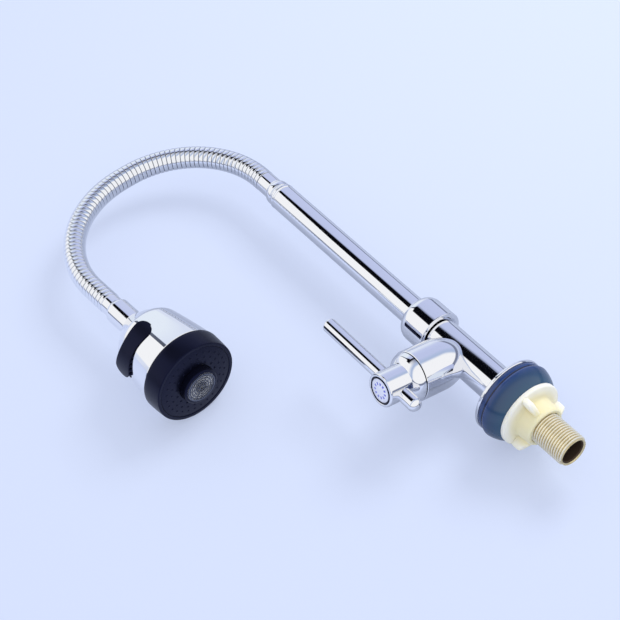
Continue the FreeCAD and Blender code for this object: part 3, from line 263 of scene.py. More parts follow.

# The bore is painted dull dark brown, which is painted shade inside the tube, and the thread's root is
# painted a little darker than its crest, which is painted shade in the groove.
brass, shader = new_material("bright_turned_brass", "#E9DDB4", Metallic=0.6, Roughness=0.24)
from_axis = axis_distance(brass)
lathe_marks = surface_noise(brass, 2.5)
tint = mixed(brass, lathe_marks, linear("#FFFAE6"), linear("#F8EDD0"))
# The thread's root is painted darker than its crest: painted shade in the groove.
crest = between(brass, from_axis, CREST_START * MM, CREST_FULL * MM)
thread_with_painted_root_shade = mixed(brass, crest, linear("#DDCEA2"), tint)
# Inside this radius the brass is painted dark brown: painted shade in the bore.
outside = calc(brass, "GREATER_THAN", from_axis, BORE_SHADE_RADIUS * MM)
feed(brass, mixed(brass, outside, linear("#4C3C2E"), thread_with_painted_root_shade), shader, "Base Color")
polish = spread(brass, lathe_marks, 0.17, 0.33)
bore_dull_gloss = add_node(brass, "ShaderNodeMix", {"Factor": outside, "A": 0.6, "B": polish}, data_type="FLOAT")
feed(brass, bore_dull_gloss.outputs[0], shader, "Roughness")

shank = lathe("inlet_shank_tube", [
    (SHANK_BORE, MOUTH_DEPTH - SHANK_LENGTH), (MOUTH_RADIUS, -SHANK_LENGTH), (core_radius, -SHANK_LENGTH),
    (core_radius, THREAD_TOP - 1), (plain_radius, THREAD_TOP), (plain_radius, GASKET_HEIGHT),
    (SPIGOT_RADIUS, GASKET_HEIGHT), (SPIGOT_RADIUS, SPIGOT_TOP), (SHANK_BORE, SPIGOT_TOP),
])
soften(shank, 0.15)
dress(shank, brass, "yellow_brass", "root", "inlet_shank")

deselect()
bpy.ops.mesh.primitive_plane_add(size=1, enter_editmode=True)
bpy.ops.mesh.delete(type="ONLY_FACE")
bpy.ops.object.mode_set(mode="OBJECT")
thread = bpy.context.object
thread.name = "inlet_thread"
tooth = [(root_radius, 0.04), (THREAD_RADIUS, 0.36), (THREAD_RADIUS, 0.60), (root_radius, 0.94)]
thread_start = -SHANK_LENGTH + THREAD_PITCH * 0.1
for corner, (r, share) in zip((0, 1, 3, 2), tooth):
    thread.data.vertices[corner].co = (r * MM, 0, (thread_start + share * THREAD_PITCH) * MM)
modify(thread, "SCREW", angle=2 * math.pi, screw_offset=THREAD_PITCH * MM, iterations=TURNS, steps=64,
       render_steps=64, use_normal_calculate=True, use_merge_vertices=True)
pick(thread)
bpy.ops.object.mode_set(mode="EDIT")
bpy.ops.mesh.select_all(action="SELECT")
bpy.ops.mesh.fill_holes(sides=6)
bpy.ops.mesh.normals_make_consistent(inside=False)
bpy.ops.object.mode_set(mode="OBJECT")
soften(thread, 0.12, segments=2)
dress(thread, brass, "yellow_brass", "root")


# Backnut: a flange and hub with three wings, to be turned by hand under the deck.
# It is moulded in natural nylon, which is milky, lets some light in and looks yellower where it is thick.
# Its thread runs on the shank.
def arc(start, end, bend, steps=8):
    """Points from start to end on a round stretch. A positive bend bulges to the right."""
    x0, y0 = start
    x1, y1 = end
    chord = math.hypot(x1 - x0, y1 - y0)
    away = math.sqrt(max(bend * bend - chord * chord / 4, 0)) * math.copysign(1, bend)
    cx = (x0 + x1) / 2 - (y1 - y0) / chord * away
    cy = (y0 + y1) / 2 + (x1 - x0) / chord * away
    first = math.atan2(y0 - cy, x0 - cx)
    sweep = (math.atan2(y1 - cy, x1 - cx) - first + math.pi) % (2 * math.pi) - math.pi
    turns = [first + sweep * i / steps for i in range(steps + 1)]
    return [(cx + abs(bend) * math.cos(turn), cy + abs(bend) * math.sin(turn)) for turn in turns]


def bump(material, shader, height, depth_mm, strength=1.0):
    bumped = add_node(material, "ShaderNodeBump", {
        "Height": height, "Distance": depth_mm * MM, "Strength": strength,
    })
    feed(material, bumped.outputs["Normal"], shader, "Normal")


def merge(piece, other, operation="UNION"):
    """Add another body to a piece, or cut it away, and let the other go."""
    modify(piece, "BOOLEAN", operation=operation, object=other, solver="EXACT")
    bpy.data.objects.remove(other)


HUB_RADIUS = 14.0
HUB_FOOT = -15
FLANGE_RADIUS = 21.6
FLANGE_UNDER = -3.0
FLANGE_EDGE = 1.2
THICK_RADIUS = 14.5
THIN_RADIUS = 19
WING_COUNT = 3
WING_FIRST = 75
WING_MIDDLE = (17.0, 0, -8.2)
WING_SIZE = (9.4, 4.2, 11.6)
WING_TIP = -9.0
WING_EDGE = 1.6
thread_bore = THREAD_RADIUS + 0.1

nylon, shader = new_material("natural_nylon", "#F1F2E4", Roughness=0.42, Subsurface_Weight=0.55,
                             Subsurface_Scale=0.004)
shader.inputs["Subsurface Radius"].default_value = (1.0, 0.95, 0.7)
milk = mixed(nylon, surface_noise(nylon, 9.0), linear("#FBF8EE"), linear("#F1ECD6"))
thin = between(nylon, axis_distance(nylon), THICK_RADIUS * MM, THIN_RADIUS * MM)
feed(nylon, mixed(nylon, thin, linear("#EFE6BE"), milk), shader, "Base Color")
bump(nylon, shader, surface_noise(nylon, 0.8), 0.02, 0.3)

backnut = lathe("backnut", [
    (thread_bore, HUB_FOOT + 0.4), (thread_bore + 0.4, HUB_FOOT), (HUB_RADIUS - 1.4, HUB_FOOT),
    (HUB_RADIUS - 0.5, HUB_FOOT + 1.4), (HUB_RADIUS, -5.0),
    *arc((HUB_RADIUS, -5.0), (16.2, -3.4), -2.4, 4)[1:],
    (FLANGE_RADIUS - FLANGE_EDGE, FLANGE_UNDER),
    *arc((FLANGE_RADIUS - FLANGE_EDGE, FLANGE_UNDER), (FLANGE_RADIUS, -1.9), FLANGE_EDGE, 4)[1:],
    (FLANGE_RADIUS, 0), (thread_bore, 0),
], steps=120)
for index in range(WING_COUNT):
    deselect()
    bpy.ops.mesh.primitive_cube_add(size=1, location=[part * MM for part in WING_MIDDLE],
                                    scale=[part * MM for part in WING_SIZE])
    wing = bpy.context.object
    settle(wing)
    for vertex in wing.data.vertices:
        if vertex.co.x > WING_MIDDLE[0] * MM and vertex.co.z < WING_MIDDLE[2] * MM:
            vertex.co.z = WING_TIP * MM
    settle(wing, Matrix.Rotation(math.radians(WING_FIRST + 360 / WING_COUNT * index), 4, "Z"))
    modify(wing, "BEVEL", width=WING_EDGE * MM, segments=4, limit_method="ANGLE",
           angle_limit=math.radians(30))
    merge(backnut, wing)
smooth(backnut, 40)
dress(backnut, nylon, "natural_nylon", "backnut", "backnut")


# Deck gasket: a cup of deep blue rubber that bulges over the deck, with a raised bead at the top.
# It is moulded with a gloss, and its lower half goes to a slate teal.
# The body's flange and the backnut squeeze it against the deck.
def banded(material, source, stops):
    """Colours that follow one another over a 0 to 1 value."""
    bands = add_node(material, "ShaderNodeValToRGB", {"Fac": source})
    for index, (position, hue) in enumerate(stops):
        stop = bands.color_ramp.elements[index] if index < 2 else bands.color_ramp.elements.new(position)
        stop.position = position
        stop.color = linear(hue)
    return bands.outputs["Color"]


def uneven_gloss(material, shader, grain_mm, low, high):
    """Let the roughness wander between two values, and give back the noise that it follows."""
    noise = surface_noise(material, grain_mm)
    feed(material, spread(material, noise, low, high), shader, "Roughness")
    return noise


FOOT_EDGE = 0.6
BULGE = (26.0, 10.6)
BEAD_RADIUS = 25.0
BEAD_LOW = 13.0
BEAD_HIGH = 13.6
GASKET_TOP_RADIUS = 24.5
rubber, shader = new_material("deep_blue_rubber", "#22396E", Roughness=0.2, Coat_Weight=0.3,
                              Coat_Roughness=0.12)
parts = add_node(rubber, "ShaderNodeSeparateXYZ", {"Vector": own_place(rubber)})
height = between(rubber, parts.outputs["Z"], 0, GASKET_HEIGHT * MM)
# The near-black band from 0.775 to 0.80 of the height lies on the groove under the bead: painted shade in the
# groove.
feed(rubber, banded(rubber, height, (
    (0.0, "#244A66"), (0.45, "#1C3A5E"), (0.7, "#193870"), (0.755, "#142A5C"), (0.775, "#0A1230"),
    (0.80, "#0A1230"), (0.82, "#1A3A72"), (1.0, "#182F60"),
)), shader, "Base Color")
pores = uneven_gloss(rubber, shader, 1.2, 0.14, 0.28)
bump(rubber, shader, pores, 0.01, 0.2)
gasket = lathe("deck_gasket", [
    (thread_bore, 0), (FLANGE_RADIUS - FOOT_EDGE, 0), (FLANGE_RADIUS, FOOT_EDGE),
    *arc((FLANGE_RADIUS, FOOT_EDGE), BULGE, 24, 10)[1:], *arc(BULGE, (BEAD_RADIUS, BEAD_LOW), 2.9, 6)[1:],
    *arc((BEAD_RADIUS, BEAD_LOW), (BEAD_RADIUS, BEAD_HIGH), -0.35, 4)[1:],
    *arc((BEAD_RADIUS, BEAD_HIGH), (GASKET_TOP_RADIUS, GASKET_HEIGHT), 5.2, 6)[1:],
    (thread_bore, GASKET_HEIGHT),
], steps=128)
smooth(gasket, 50)
dress(gasket, rubber, "blue_gasket", "root", "deck_gasket")

# Tap body: a brass casting, turned, polished and chrome plated. Its valve barrel grows out of the column.
# Mirror chrome shows the room: a white band, a near-black band and pale lavender.
# The body stands on the gasket and holds the shank below and the riser above.
DECK_FLANGE = 25.3
FLANGE_TOP = 18.9
BODY_RADIUS = 11.85
BODY_TOP = 92.5
FLARE = (14.2, 21.0)
FLARE_TOP = 23.4
SOCKET_RADIUS = 9.2
SOCKET_FLOOR = 64
WATERWAY = 7
BARREL_RADIUS = 16.3
BARREL_END = 39.9
VALVE_BORE = 11.5
VALVE_SEAT = 17.5
NOSE_START = 6.4
NOSE_END = 22
NOSE_BEND = 28.9
body_bore = SPIGOT_RADIUS + 0.05
chrome, shader = new_material("mirror_chrome", "#F1F2F6", Metallic=1.0, Roughness=0.04)
uneven_gloss(chrome, shader, 14.0, 0.025, 0.07)

column = lathe("tap_body_column", [
    (body_bore, GASKET_HEIGHT), (DECK_FLANGE - 0.4, GASKET_HEIGHT), (DECK_FLANGE, GASKET_HEIGHT + 0.4),
    (DECK_FLANGE, FLANGE_TOP - 0.4), (DECK_FLANGE - 0.3, FLANGE_TOP),
    *arc((DECK_FLANGE - 0.3, FLANGE_TOP), FLARE, -60, 6)[1:],
    *arc(FLARE, (BODY_RADIUS, FLARE_TOP), -2.6, 8)[1:],
    (BODY_RADIUS, BODY_TOP - 0.3), (BODY_RADIUS - 0.3, BODY_TOP), (SOCKET_RADIUS, BODY_TOP),
    (SOCKET_RADIUS, SOCKET_FLOOR), (WATERWAY, SOCKET_FLOOR - 4), (WATERWAY, SPIGOT_TOP),
    (body_bore, SPIGOT_TOP),
], steps=144)
joint = {entry["name"]: entry for entry in frame["joints"]}
branch_height = joint["handle_turn"]["pos_m"][2] / MM
branch_axis = Vector(joint["handle_turn"]["axis"])
upright = Vector((0, 0, 1))
branch_turn = Matrix((upright, branch_axis.cross(upright), branch_axis)).transposed().to_4x4()
branch = Matrix.Translation((0, 0, branch_height * MM)) @ branch_turn
barrel_nose = arc((NOSE_START, 0), (BARREL_RADIUS, NOSE_END), NOSE_BEND, 18)
barrel = lathe("tap_body", [
    (0, barrel_nose[0][1]), *barrel_nose, (BARREL_RADIUS, BARREL_END - 0.3),
    (BARREL_RADIUS - 0.3, BARREL_END),
    (VALVE_BORE, BARREL_END), (VALVE_BORE, VALVE_SEAT), (0, VALVE_SEAT),
], steps=144, place=branch)
merge(column, barrel)
column.name = "tap_body_shell"
smooth(column, 38)
dress(column, chrome, "polished_chrome", "root", "tap_body")

# Swivel nut: a plain ring nut, domed on top, of chromed brass.
# It screws on the body's top and holds the riser down, and a small recess runs round its foot.
NUT_RADIUS = 15.8
NUT_BORE = 12.15
NUT_FOOT = 81.5
NUT_DOME = 97.6
NUT_TOP = 105
NUT_LIP = 9.8
RECESS_RADIUS = 13.2
RECESS_TOP = 83.5
THREAD_ROOF = 96.4
swivel_nut = lathe("swivel_nut_shell", [
    (NUT_BORE, RECESS_TOP), (RECESS_RADIUS, RECESS_TOP), (RECESS_RADIUS, NUT_FOOT),
    (NUT_RADIUS - 0.5, NUT_FOOT),
    *arc((NUT_RADIUS - 0.5, NUT_FOOT), (NUT_RADIUS, NUT_FOOT + 0.5), 0.5, 4)[1:], (NUT_RADIUS, NUT_DOME),
    *arc((NUT_RADIUS, NUT_DOME), (11.3, NUT_TOP - 0.4), 7.4, 14)[1:], (10.9, NUT_TOP), (NUT_LIP, NUT_TOP),
    (NUT_LIP, THREAD_ROOF), (NUT_BORE, THREAD_ROOF),
], steps=128)
smooth(swivel_nut)
dress(swivel_nut, chrome, "polished_chrome", "root", "swivel_nut")

# Riser: a thin chromed brass tube that stands in the body under the swivel nut.
# It carries the collar and the neck, and turns with them.
RISER_RADIUS = 9.5
RISER_BORE = 8.5
RISER_FOOT = 96.1
RISER_TOP = 246
riser = lathe("riser_tube_shell", [
    (RISER_BORE, RISER_FOOT), (RISER_RADIUS, RISER_FOOT), (RISER_RADIUS, RISER_TOP - 0.5),
    *arc((RISER_RADIUS, RISER_TOP - 0.5), (RISER_RADIUS - 0.5, RISER_TOP), 0.5, 3)[1:],
    (RISER_BORE, RISER_TOP),
], steps=128)
smooth(riser)
dress(riser, chrome, "polished_chrome", "spout", "riser_tube")

# Riser collar: a turned and chromed brass plug that closes the riser.
# It is rolled over a bead above the tube, then necked in to the hose's width.
COLLAR_FOOT = 239
COLLAR_BORE = 4.6
COLLAR_RADIUS = 8.4
COLLAR_TOP = RISER_TOP + 11
BEAD_WAIST = (8.2, RISER_TOP + 3.8)
collar = lathe("riser_collar_shell", [
    (COLLAR_BORE, COLLAR_FOOT), (COLLAR_RADIUS, COLLAR_FOOT), (COLLAR_RADIUS, RISER_TOP + 0.1),
    *arc((COLLAR_RADIUS, RISER_TOP + 0.1), BEAD_WAIST, 1.95, 10)[1:],
    *arc(BEAD_WAIST, (8.7, RISER_TOP + 4.6), -0.7, 4)[1:], (9.0, RISER_TOP + 5.2),
    *arc((9.0, RISER_TOP + 6.6), (7.5, COLLAR_TOP - 0.2), 6.0, 8), (7.3, COLLAR_TOP),
    (COLLAR_BORE, COLLAR_TOP),
], steps=112)
smooth(collar)
dress(collar, chrome, "polished_chrome", "spout", "riser_collar")

# Lower ferrule: a short sleeve of drawn and chromed brass on the collar.
# It grips the hose's plain end.
FERRULE_TOP = COLLAR_TOP + 11
FERRULE_RADIUS = 7.5
FERRULE_BORE = 6.65
ferrule_low = lathe("neck_ferrule_lower_sleeve", [
    (FERRULE_BORE, COLLAR_TOP), (FERRULE_RADIUS - 0.2, COLLAR_TOP), (FERRULE_RADIUS, COLLAR_TOP + 0.3),
    (FERRULE_RADIUS, FERRULE_TOP - 0.6),
    *arc((FERRULE_RADIUS, FERRULE_TOP - 0.6), (FERRULE_RADIUS - 0.6, FERRULE_TOP), 0.6, 4)[1:],
    (FERRULE_BORE, FERRULE_TOP),
], steps=112)
smooth(ferrule_low)
dress(ferrule_low, chrome, "polished_chrome", "spout", "neck_ferrule_lower")

# Flexible neck: a strip-wound steel hose, chromed, whose rounded turns show as close ribs.
# Each stretch is one rib, repeated and bent along the neck's route.
# Its plain ends sit in the two ferrules.
RUN_IN = 15.5
RISE_RADIUS = 68
RISE_TURN = math.radians(90)
TOP_RUN = 4.5
FALL_RADIUS = 70.1
FALL_TURN = math.radians(93.4)
RUN_OUT = 24.3
TAIL = 5.0
HOSE_RADIUS = 7.65
ROOT_RADIUS = 6.85
RIB_PITCH = 3.5
PLAIN_END = 6.6
HOSE_BORE = 4.6
SECTIONS = 6
rise_length = RUN_IN + RISE_TURN * RISE_RADIUS
fall_start = rise_length + TOP_RUN
neck_length = fall_start + FALL_TURN * FALL_RADIUS + RUN_OUT
ribs_start = FERRULE_TOP - COLLAR_TOP
ribs_end = neck_length - TAIL


def neck_point(distance):
    """Place in mm and heading angle at a distance along the neck, bending about +Y."""
    if distance <= RUN_IN:
        return Vector((0, 0, COLLAR_TOP + distance)), 0.0
    turned = min((distance - RUN_IN) / RISE_RADIUS, RISE_TURN)
    place = Vector((0, 0, COLLAR_TOP + RUN_IN))
    place += Vector((1 - math.cos(turned), 0, math.sin(turned))) * RISE_RADIUS
    if distance <= rise_length:
        return place, turned
    heading = Vector((math.sin(RISE_TURN), 0, math.cos(RISE_TURN)))
    place += heading * min(distance - rise_length, TOP_RUN)
    if distance <= fall_start:
        return place, turned
    more = min((distance - fall_start) / FALL_RADIUS, FALL_TURN)
    inward = Vector((math.cos(RISE_TURN), 0, -math.sin(RISE_TURN)))
    place += (inward * (1 - math.cos(more)) + heading * math.sin(more)) * FALL_RADIUS
    turned += more
    over = max(distance - fall_start - FALL_TURN * FALL_RADIUS, 0)
    return place + Vector((math.sin(turned), 0, math.cos(turned))) * over, turned


bend_turn = (RISE_TURN + FALL_TURN) / SECTIONS
bend_places = []
for index in range(1, SECTIONS):
    turned = bend_turn * index
    if turned <= RISE_TURN:
        bend_places.append(RUN_IN + turned * RISE_RADIUS)
    else:
        bend_places.append(fall_start + (turned - RISE_TURN) * FALL_RADIUS)
edges = [ribs_start, *bend_places, ribs_end]
middles = [(edges[i] + edges[i + 1]) / 2 for i in range(SECTIONS)]
rib_count = round((ribs_end - ribs_start) / RIB_PITCH)
rib_step = (ribs_end - ribs_start) / rib_count

GROOVE = 0.34
EDGE = 0.3
hose_chrome, shader = new_material("chromed_strip_hose", "#EEF0F5", Metallic=1.0, Roughness=0.08)
uneven_gloss(hose_chrome, shader, 5.0, 0.05, 0.13)
# The faces in the grooves between the ribs get a near-black metal: painted shade in the grooves.
painted_groove_shade, shader = new_material("shaded_hose_groove", "#1B1C22", Metallic=1.0, Roughness=0.5)
uneven_gloss(painted_groove_shade, shader, 2.0, 0.4, 0.6)
rib_profile = [
    (ROOT_RADIUS, 0.0), (ROOT_RADIUS, GROOVE),
    *arc((HOSE_RADIUS - EDGE, GROOVE), (HOSE_RADIUS - 0.04, GROOVE + EDGE), EDGE, 3),
    (HOSE_RADIUS, (rib_step + GROOVE) / 2),
    *arc((HOSE_RADIUS - 0.04, rib_step - EDGE), (HOSE_RADIUS - EDGE, rib_step), EDGE, 3),
]
HOSE_STEPS = 64


def bent_tube(name, start, profile):
    """Bend a straight lathed tube, whose heights are distances past start, along the neck."""
    tube = lathe(name, profile, closed=False, steps=HOSE_STEPS)
    tube.data.materials.append(hose_chrome)
    tube.data.materials.append(painted_groove_shade)
    # Faces near the root radius take the second material, the painted shade of the grooves.
    for face in tube.data.polygons:
        farthest = max(math.hypot(*tube.data.vertices[corner].co.xy) for corner in face.vertices)
        face.material_index = 1 if farthest < (ROOT_RADIUS + 0.1) * MM else 0
    for vertex in tube.data.vertices:
        place, turned = neck_point(start + vertex.co.z / MM)
        across = Vector((math.cos(turned), 0, -math.sin(turned))) * vertex.co.x
        vertex.co = place * MM + across + Vector((0, vertex.co.y, 0))
    return tube


for index in range(SECTIONS - 1):
    low = 0 if index == 0 else round((middles[index] - ribs_start) / rib_step)
    high = rib_count if index == SECTIONS - 2 else round((middles[index + 1] - ribs_start) / rib_step)
    start = ribs_start + low * rib_step
    profile = []
    if index == 0:
        profile += [(PLAIN_END, -ribs_start + 0.1), (PLAIN_END, -0.1)]
    for rib in range(high - low):
        profile += [(radius, height + rib * rib_step) for radius, height in rib_profile]
    profile.append((ROOT_RADIUS, (high - low) * rib_step))
    if index == SECTIONS - 2:
        profile += [(PLAIN_END, (high - low) * rib_step + 0.1),
                    (PLAIN_END, (high - low) * rib_step + TAIL - 0.1)]
    low_end, high_end = profile[0][1], profile[-1][1]
    bore_steps = high - low
    bore = [(HOSE_BORE, high_end + (low_end - high_end) * i / bore_steps) for i in range(bore_steps + 1)]
    hose = bent_tube(f"neck_stretch_{index + 1}", start, profile + bore + [profile[0]])
    smooth(hose, 50)
    neck_point(middles[index])[0] * MM
    neck_point(middles[index + 1])[0] * MM
    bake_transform(hose)
    nodes_here = [f"neck_hose_{index + 1}"] + (["neck_hose_6"] if index == SECTIONS - 2 else [])
    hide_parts(*nodes_here)

# Upper ferrule: the chromed sleeve on the hose's far end, of turned brass.
# The head's coupling hangs on its stem and flange and turns there.
head_axis = Vector(joint["head_turn"]["axis"])
head_place = Vector(joint["head_turn"]["pos_m"])
pin_place = Vector(joint["diverter_tip"]["pos_m"])
towards_pin = pin_place - head_place
towards_pin = (towards_pin - head_axis * towards_pin.dot(head_axis)).normalized()
head_turned = Matrix((towards_pin, head_axis.cross(towards_pin), head_axis)).transposed().to_4x4()
head = Matrix.Translation(head_place) @ head_turned
SLEEVE_RADIUS = 7.3
SLEEVE_END = 7.0
STEM_RADIUS = 5.2
STEM_END = 11.6
STOP_RADIUS = 6.9
STOP_END = 13.95
STEM_BORE = 3.4
ferrule_high = lathe("neck_ferrule_upper_sleeve", [
    (FERRULE_BORE, 0), (6.9, 0), *arc((6.9, 0), (SLEEVE_RADIUS, 0.5), 0.45, 4)[1:],
    (SLEEVE_RADIUS, SLEEVE_END - 0.4), (SLEEVE_RADIUS - 0.2, SLEEVE_END), (STEM_RADIUS, SLEEVE_END),
    (STEM_RADIUS, STEM_END), (STOP_RADIUS, STEM_END), (STOP_RADIUS, STOP_END), (STEM_BORE, STOP_END),
    (STEM_BORE, TAIL), (FERRULE_BORE, TAIL),
], steps=112, place=head)
smooth(ferrule_high)
dress(ferrule_high, chrome, "polished_chrome", "neck_end", "neck_ferrule_upper")

# Handle hub: a turned and chromed brass boss with a hole across it for the lever.
# It sits on the valve's spindle, and its skirt covers the barrel's end.
HUB_FOOT_STATION = 44
SKIRT_START = 40.2
SKIRT_RADIUS = 15.8
BOSS_RADIUS = 10.9
BOSS_START = 47.0
BOSS_END = 63.6
RIM_INNER = 8.8
INDEX_SEAT = 61.6
hub = lathe("handle_hub_shell", [
    (0, HUB_FOOT_STATION), (11.2, HUB_FOOT_STATION), (14.4, SKIRT_START), (15.5, SKIRT_START),
    (SKIRT_RADIUS, SKIRT_START + 0.4),
    *arc((SKIRT_RADIUS, SKIRT_START + 0.4), (BOSS_RADIUS, BOSS_START), 8.5, 12)[1:],
    (BOSS_RADIUS, BOSS_END - 1.0),
    *arc((BOSS_RADIUS, BOSS_END - 1.0), (BOSS_RADIUS - 1.0, BOSS_END), 1.0, 5)[1:],
    (RIM_INNER + 0.4, BOSS_END), (RIM_INNER, BOSS_END - 0.4), (RIM_INNER, INDEX_SEAT), (0, INDEX_SEAT),
], steps=128, place=branch)
smooth(hub)
dress(hub, chrome, "polished_chrome", "handle", "handle_hub")

# Lever rod: a plain bar of chromed brass through the hub, domed below and chamfered above.
# A grub screw in the hub holds it.
ROD_RADIUS = 4.7
ROD_STATION = 53.5
ROD_LOW = -24
ROD_HIGH = 64.5
rod_place = Matrix.Translation(branch_axis * ROD_STATION * MM + Vector((0, 0, branch_height * MM)))
rod = lathe("lever_rod_bar", [
    *arc((0, ROD_LOW), (ROD_RADIUS, ROD_LOW + ROD_RADIUS * 0.85), 4.75, 10), (ROD_RADIUS, ROD_HIGH - 1.3),
    (ROD_RADIUS - 0.3, ROD_HIGH - 0.6), (ROD_RADIUS - 1.0, ROD_HIGH), (0, ROD_HIGH),
], closed=False, steps=96, place=rod_place)
smooth(rod, 25)
dress(rod, chrome, "polished_chrome", "handle", "lever_rod")

# Index bezel: a thin black moulded ring, pressed into the hub's end round the index disc.
# Black moulded plastic is satin, with a fine grain, and its gloss is faintly blue.
BEZEL_INNER = 7.85
BEZEL_RADIUS = 8.75
BEZEL_END = 63.9
black, shader = new_material("black_abs", "#090A14", Roughness=0.3, Specular_IOR_Level=0.3,
                             Specular_Tint=linear("#8E9CFF"))
uneven_gloss(black, shader, 20.0, 0.24, 0.4)
bump(black, shader, surface_noise(black, 0.6, 4.0), 0.015, 0.25)
bezel = lathe("index_bezel_ring", [
    (BEZEL_INNER, INDEX_SEAT), (BEZEL_RADIUS, INDEX_SEAT), (BEZEL_RADIUS, BEZEL_END - 0.4),
    *arc((BEZEL_RADIUS, BEZEL_END - 0.4), (8.3, BEZEL_END), 0.45, 4)[1:], (8.0, BEZEL_END),
    (BEZEL_INNER, BEZEL_END - 0.2),
], steps=112, place=branch)
smooth(bezel)
dress(bezel, black, "black_moulding", "handle", "index_bezel")

# Index disc: a pale lacquered disc, lightly domed, which marks the cold feed.
# It is glued in the bezel, and carries a plain ring of short blue strokes in place of any wording.
DISC_RADIUS = 7.8
PRINT_STROKES = 11
PRINT_RADIUS = 4.6
PRINT_HALF_WIDTH = 0.9
index_disc = lathe("index_disc_face", [
    (0, INDEX_SEAT), (DISC_RADIUS, INDEX_SEAT), (DISC_RADIUS, BEZEL_END - 0.5),
    *arc((DISC_RADIUS, BEZEL_END - 0.5), (0.001, BEZEL_END), 60, 6)[1:],
], closed=False, steps=112, place=branch)
smooth(index_disc)
lacquer, shader = new_material("lacquered_print", "#E6EAFB", Roughness=0.18, Coat_Weight=0.8,
                               Coat_Roughness=0.05)
on_disc = []
for row in list(branch.inverted())[:2]:
    along = add_node(lacquer, "ShaderNodeVectorMath", {0: own_place(lacquer), 1: row[:3]},
                     operation="DOT_PRODUCT")
    on_disc.append(calc(lacquer, "ADD", along.outputs["Value"], row[3]))
up, across = on_disc
wave = calc(lacquer, "SINE", calc(lacquer, "MULTIPLY", calc(lacquer, "ARCTAN2", up, across), PRINT_STROKES))
on_face = add_node(lacquer, "ShaderNodeCombineXYZ", {"X": up, "Y": across})
from_middle = add_node(lacquer, "ShaderNodeVectorMath", {0: on_face.outputs["Vector"]}, operation="LENGTH")
past_ring = calc(lacquer, "SUBTRACT", from_middle.outputs["Value"], PRINT_RADIUS * MM)
off_ring = calc(lacquer, "ABSOLUTE", past_ring)
in_ring = calc(lacquer, "LESS_THAN", off_ring, PRINT_HALF_WIDTH * MM)
printed = calc(lacquer, "MULTIPLY", in_ring, calc(lacquer, "GREATER_THAN", wave, 0.0))
feed(lacquer, mixed(lacquer, printed, linear("#E6EAFB"), linear("#6E74D8")), shader, "Base Color")
dress(index_disc, lacquer, "index_enamel", "handle", "index_disc")

# Coupling: the nut of chromed brass at the top of the head.
# It hooks under the ferrule's flange, holds the head on the neck and lets it turn.
COUPLING_START = 7.3
COUPLING_END = 26.3
COUPLING_RADIUS = 8.9
COUPLING_HOOK = 5.5
COUPLING_BORE = 7.6
coupling = lathe("head_coupling_shell", [
    (COUPLING_HOOK, COUPLING_START), (6.9, COUPLING_START),
    *arc((6.9, COUPLING_START), (COUPLING_RADIUS, 9.6), 2.3, 8)[1:], (COUPLING_RADIUS, COUPLING_END - 0.3),
    (COUPLING_RADIUS - 0.2, COUPLING_END), (COUPLING_BORE, COUPLING_END), (COUPLING_BORE, 11.5),
    (COUPLING_HOOK, 11.5),
], steps=112, place=head)
smooth(coupling)
dress(coupling, chrome, "polished_chrome", "head", "head_coupling")

# Bell: a deep spun shell of chromed brass with a domed shoulder, held by the coupling.
# It is cut through at the side for the rocker.
BELL_TOP = 26.6
BELL_WALL = 1.6
CONE_END = BELL_TOP + 14.6
SHOULDER_END = BELL_TOP + 19.3
RIM = BELL_TOP + 52
RIM_RADIUS = 29.1
CONE_FOOT = 22.3
SHOULDER_RADIUS = 24.5
SPOUT_BORE = 4.5
SPOUT_START = 16.0
SPOUT_RADIUS = 7.55
inner_rim = RIM_RADIUS - BELL_WALL
bell = lathe("bell_shell_cover", [
    (SPOUT_BORE, SPOUT_START), (SPOUT_RADIUS, SPOUT_START), (SPOUT_RADIUS, BELL_TOP), (9.2, BELL_TOP),
    *arc((9.2, BELL_TOP), (CONE_FOOT, CONE_END), 90, 6)[1:],
    *arc((CONE_FOOT, CONE_END), (SHOULDER_RADIUS, SHOULDER_END), 9.6, 12)[1:],
    *arc((SHOULDER_RADIUS, SHOULDER_END), (RIM_RADIUS, RIM - 0.3), 700, 12)[1:],
    (RIM_RADIUS - 0.2, RIM), (inner_rim, RIM),
    *arc((inner_rim, RIM), (22.9, SHOULDER_END + 0.4), -700, 8)[1:],
    *arc((22.9, SHOULDER_END + 0.4), (21.1, CONE_END + 1.1), -7.4, 6)[1:], (8.5, BELL_TOP + BELL_WALL),
    (SPOUT_BORE, BELL_TOP + BELL_WALL),
], steps=144, place=head)
ROCKER_STATION = BELL_TOP + 28.1
ROCKER_AZIMUTH_HALF = 44
ROCKER_RADIUS = 27.6
ROCKER_HALF_WIDTH = 7.0
ROCKER_WAIST = 1.3
ROCKER_CAP = 7.0
WAIST_SPREAD = 11.5
WAIST_REACH = 18
WAIST_POWER = 1.5
CAP_POWER = 2.4
TIP_SHARE = 0.0004
WINDOW_GAP = 0.7
WINDOW_DEPTHS = (17, 32)
rocker_half = math.radians(ROCKER_AZIMUTH_HALF) * ROCKER_RADIUS


def rocker_outline(grow, share):
    """Half length and half width of the rocker's outline at a share from its middle to its end."""
    reach = rocker_half + grow
    along = reach * math.sin(share * math.pi / 2)
    cap = ROCKER_CAP + grow
    over = max(abs(along) - (reach - cap), 0) / cap
    waist = 0
    if abs(along) < WAIST_REACH:
        waist = ROCKER_WAIST * max(math.cos(along / WAIST_SPREAD), 0) ** WAIST_POWER
    return along, (ROCKER_HALF_WIDTH + grow - waist) * math.sqrt(max(1 - over ** CAP_POWER, TIP_SHARE))


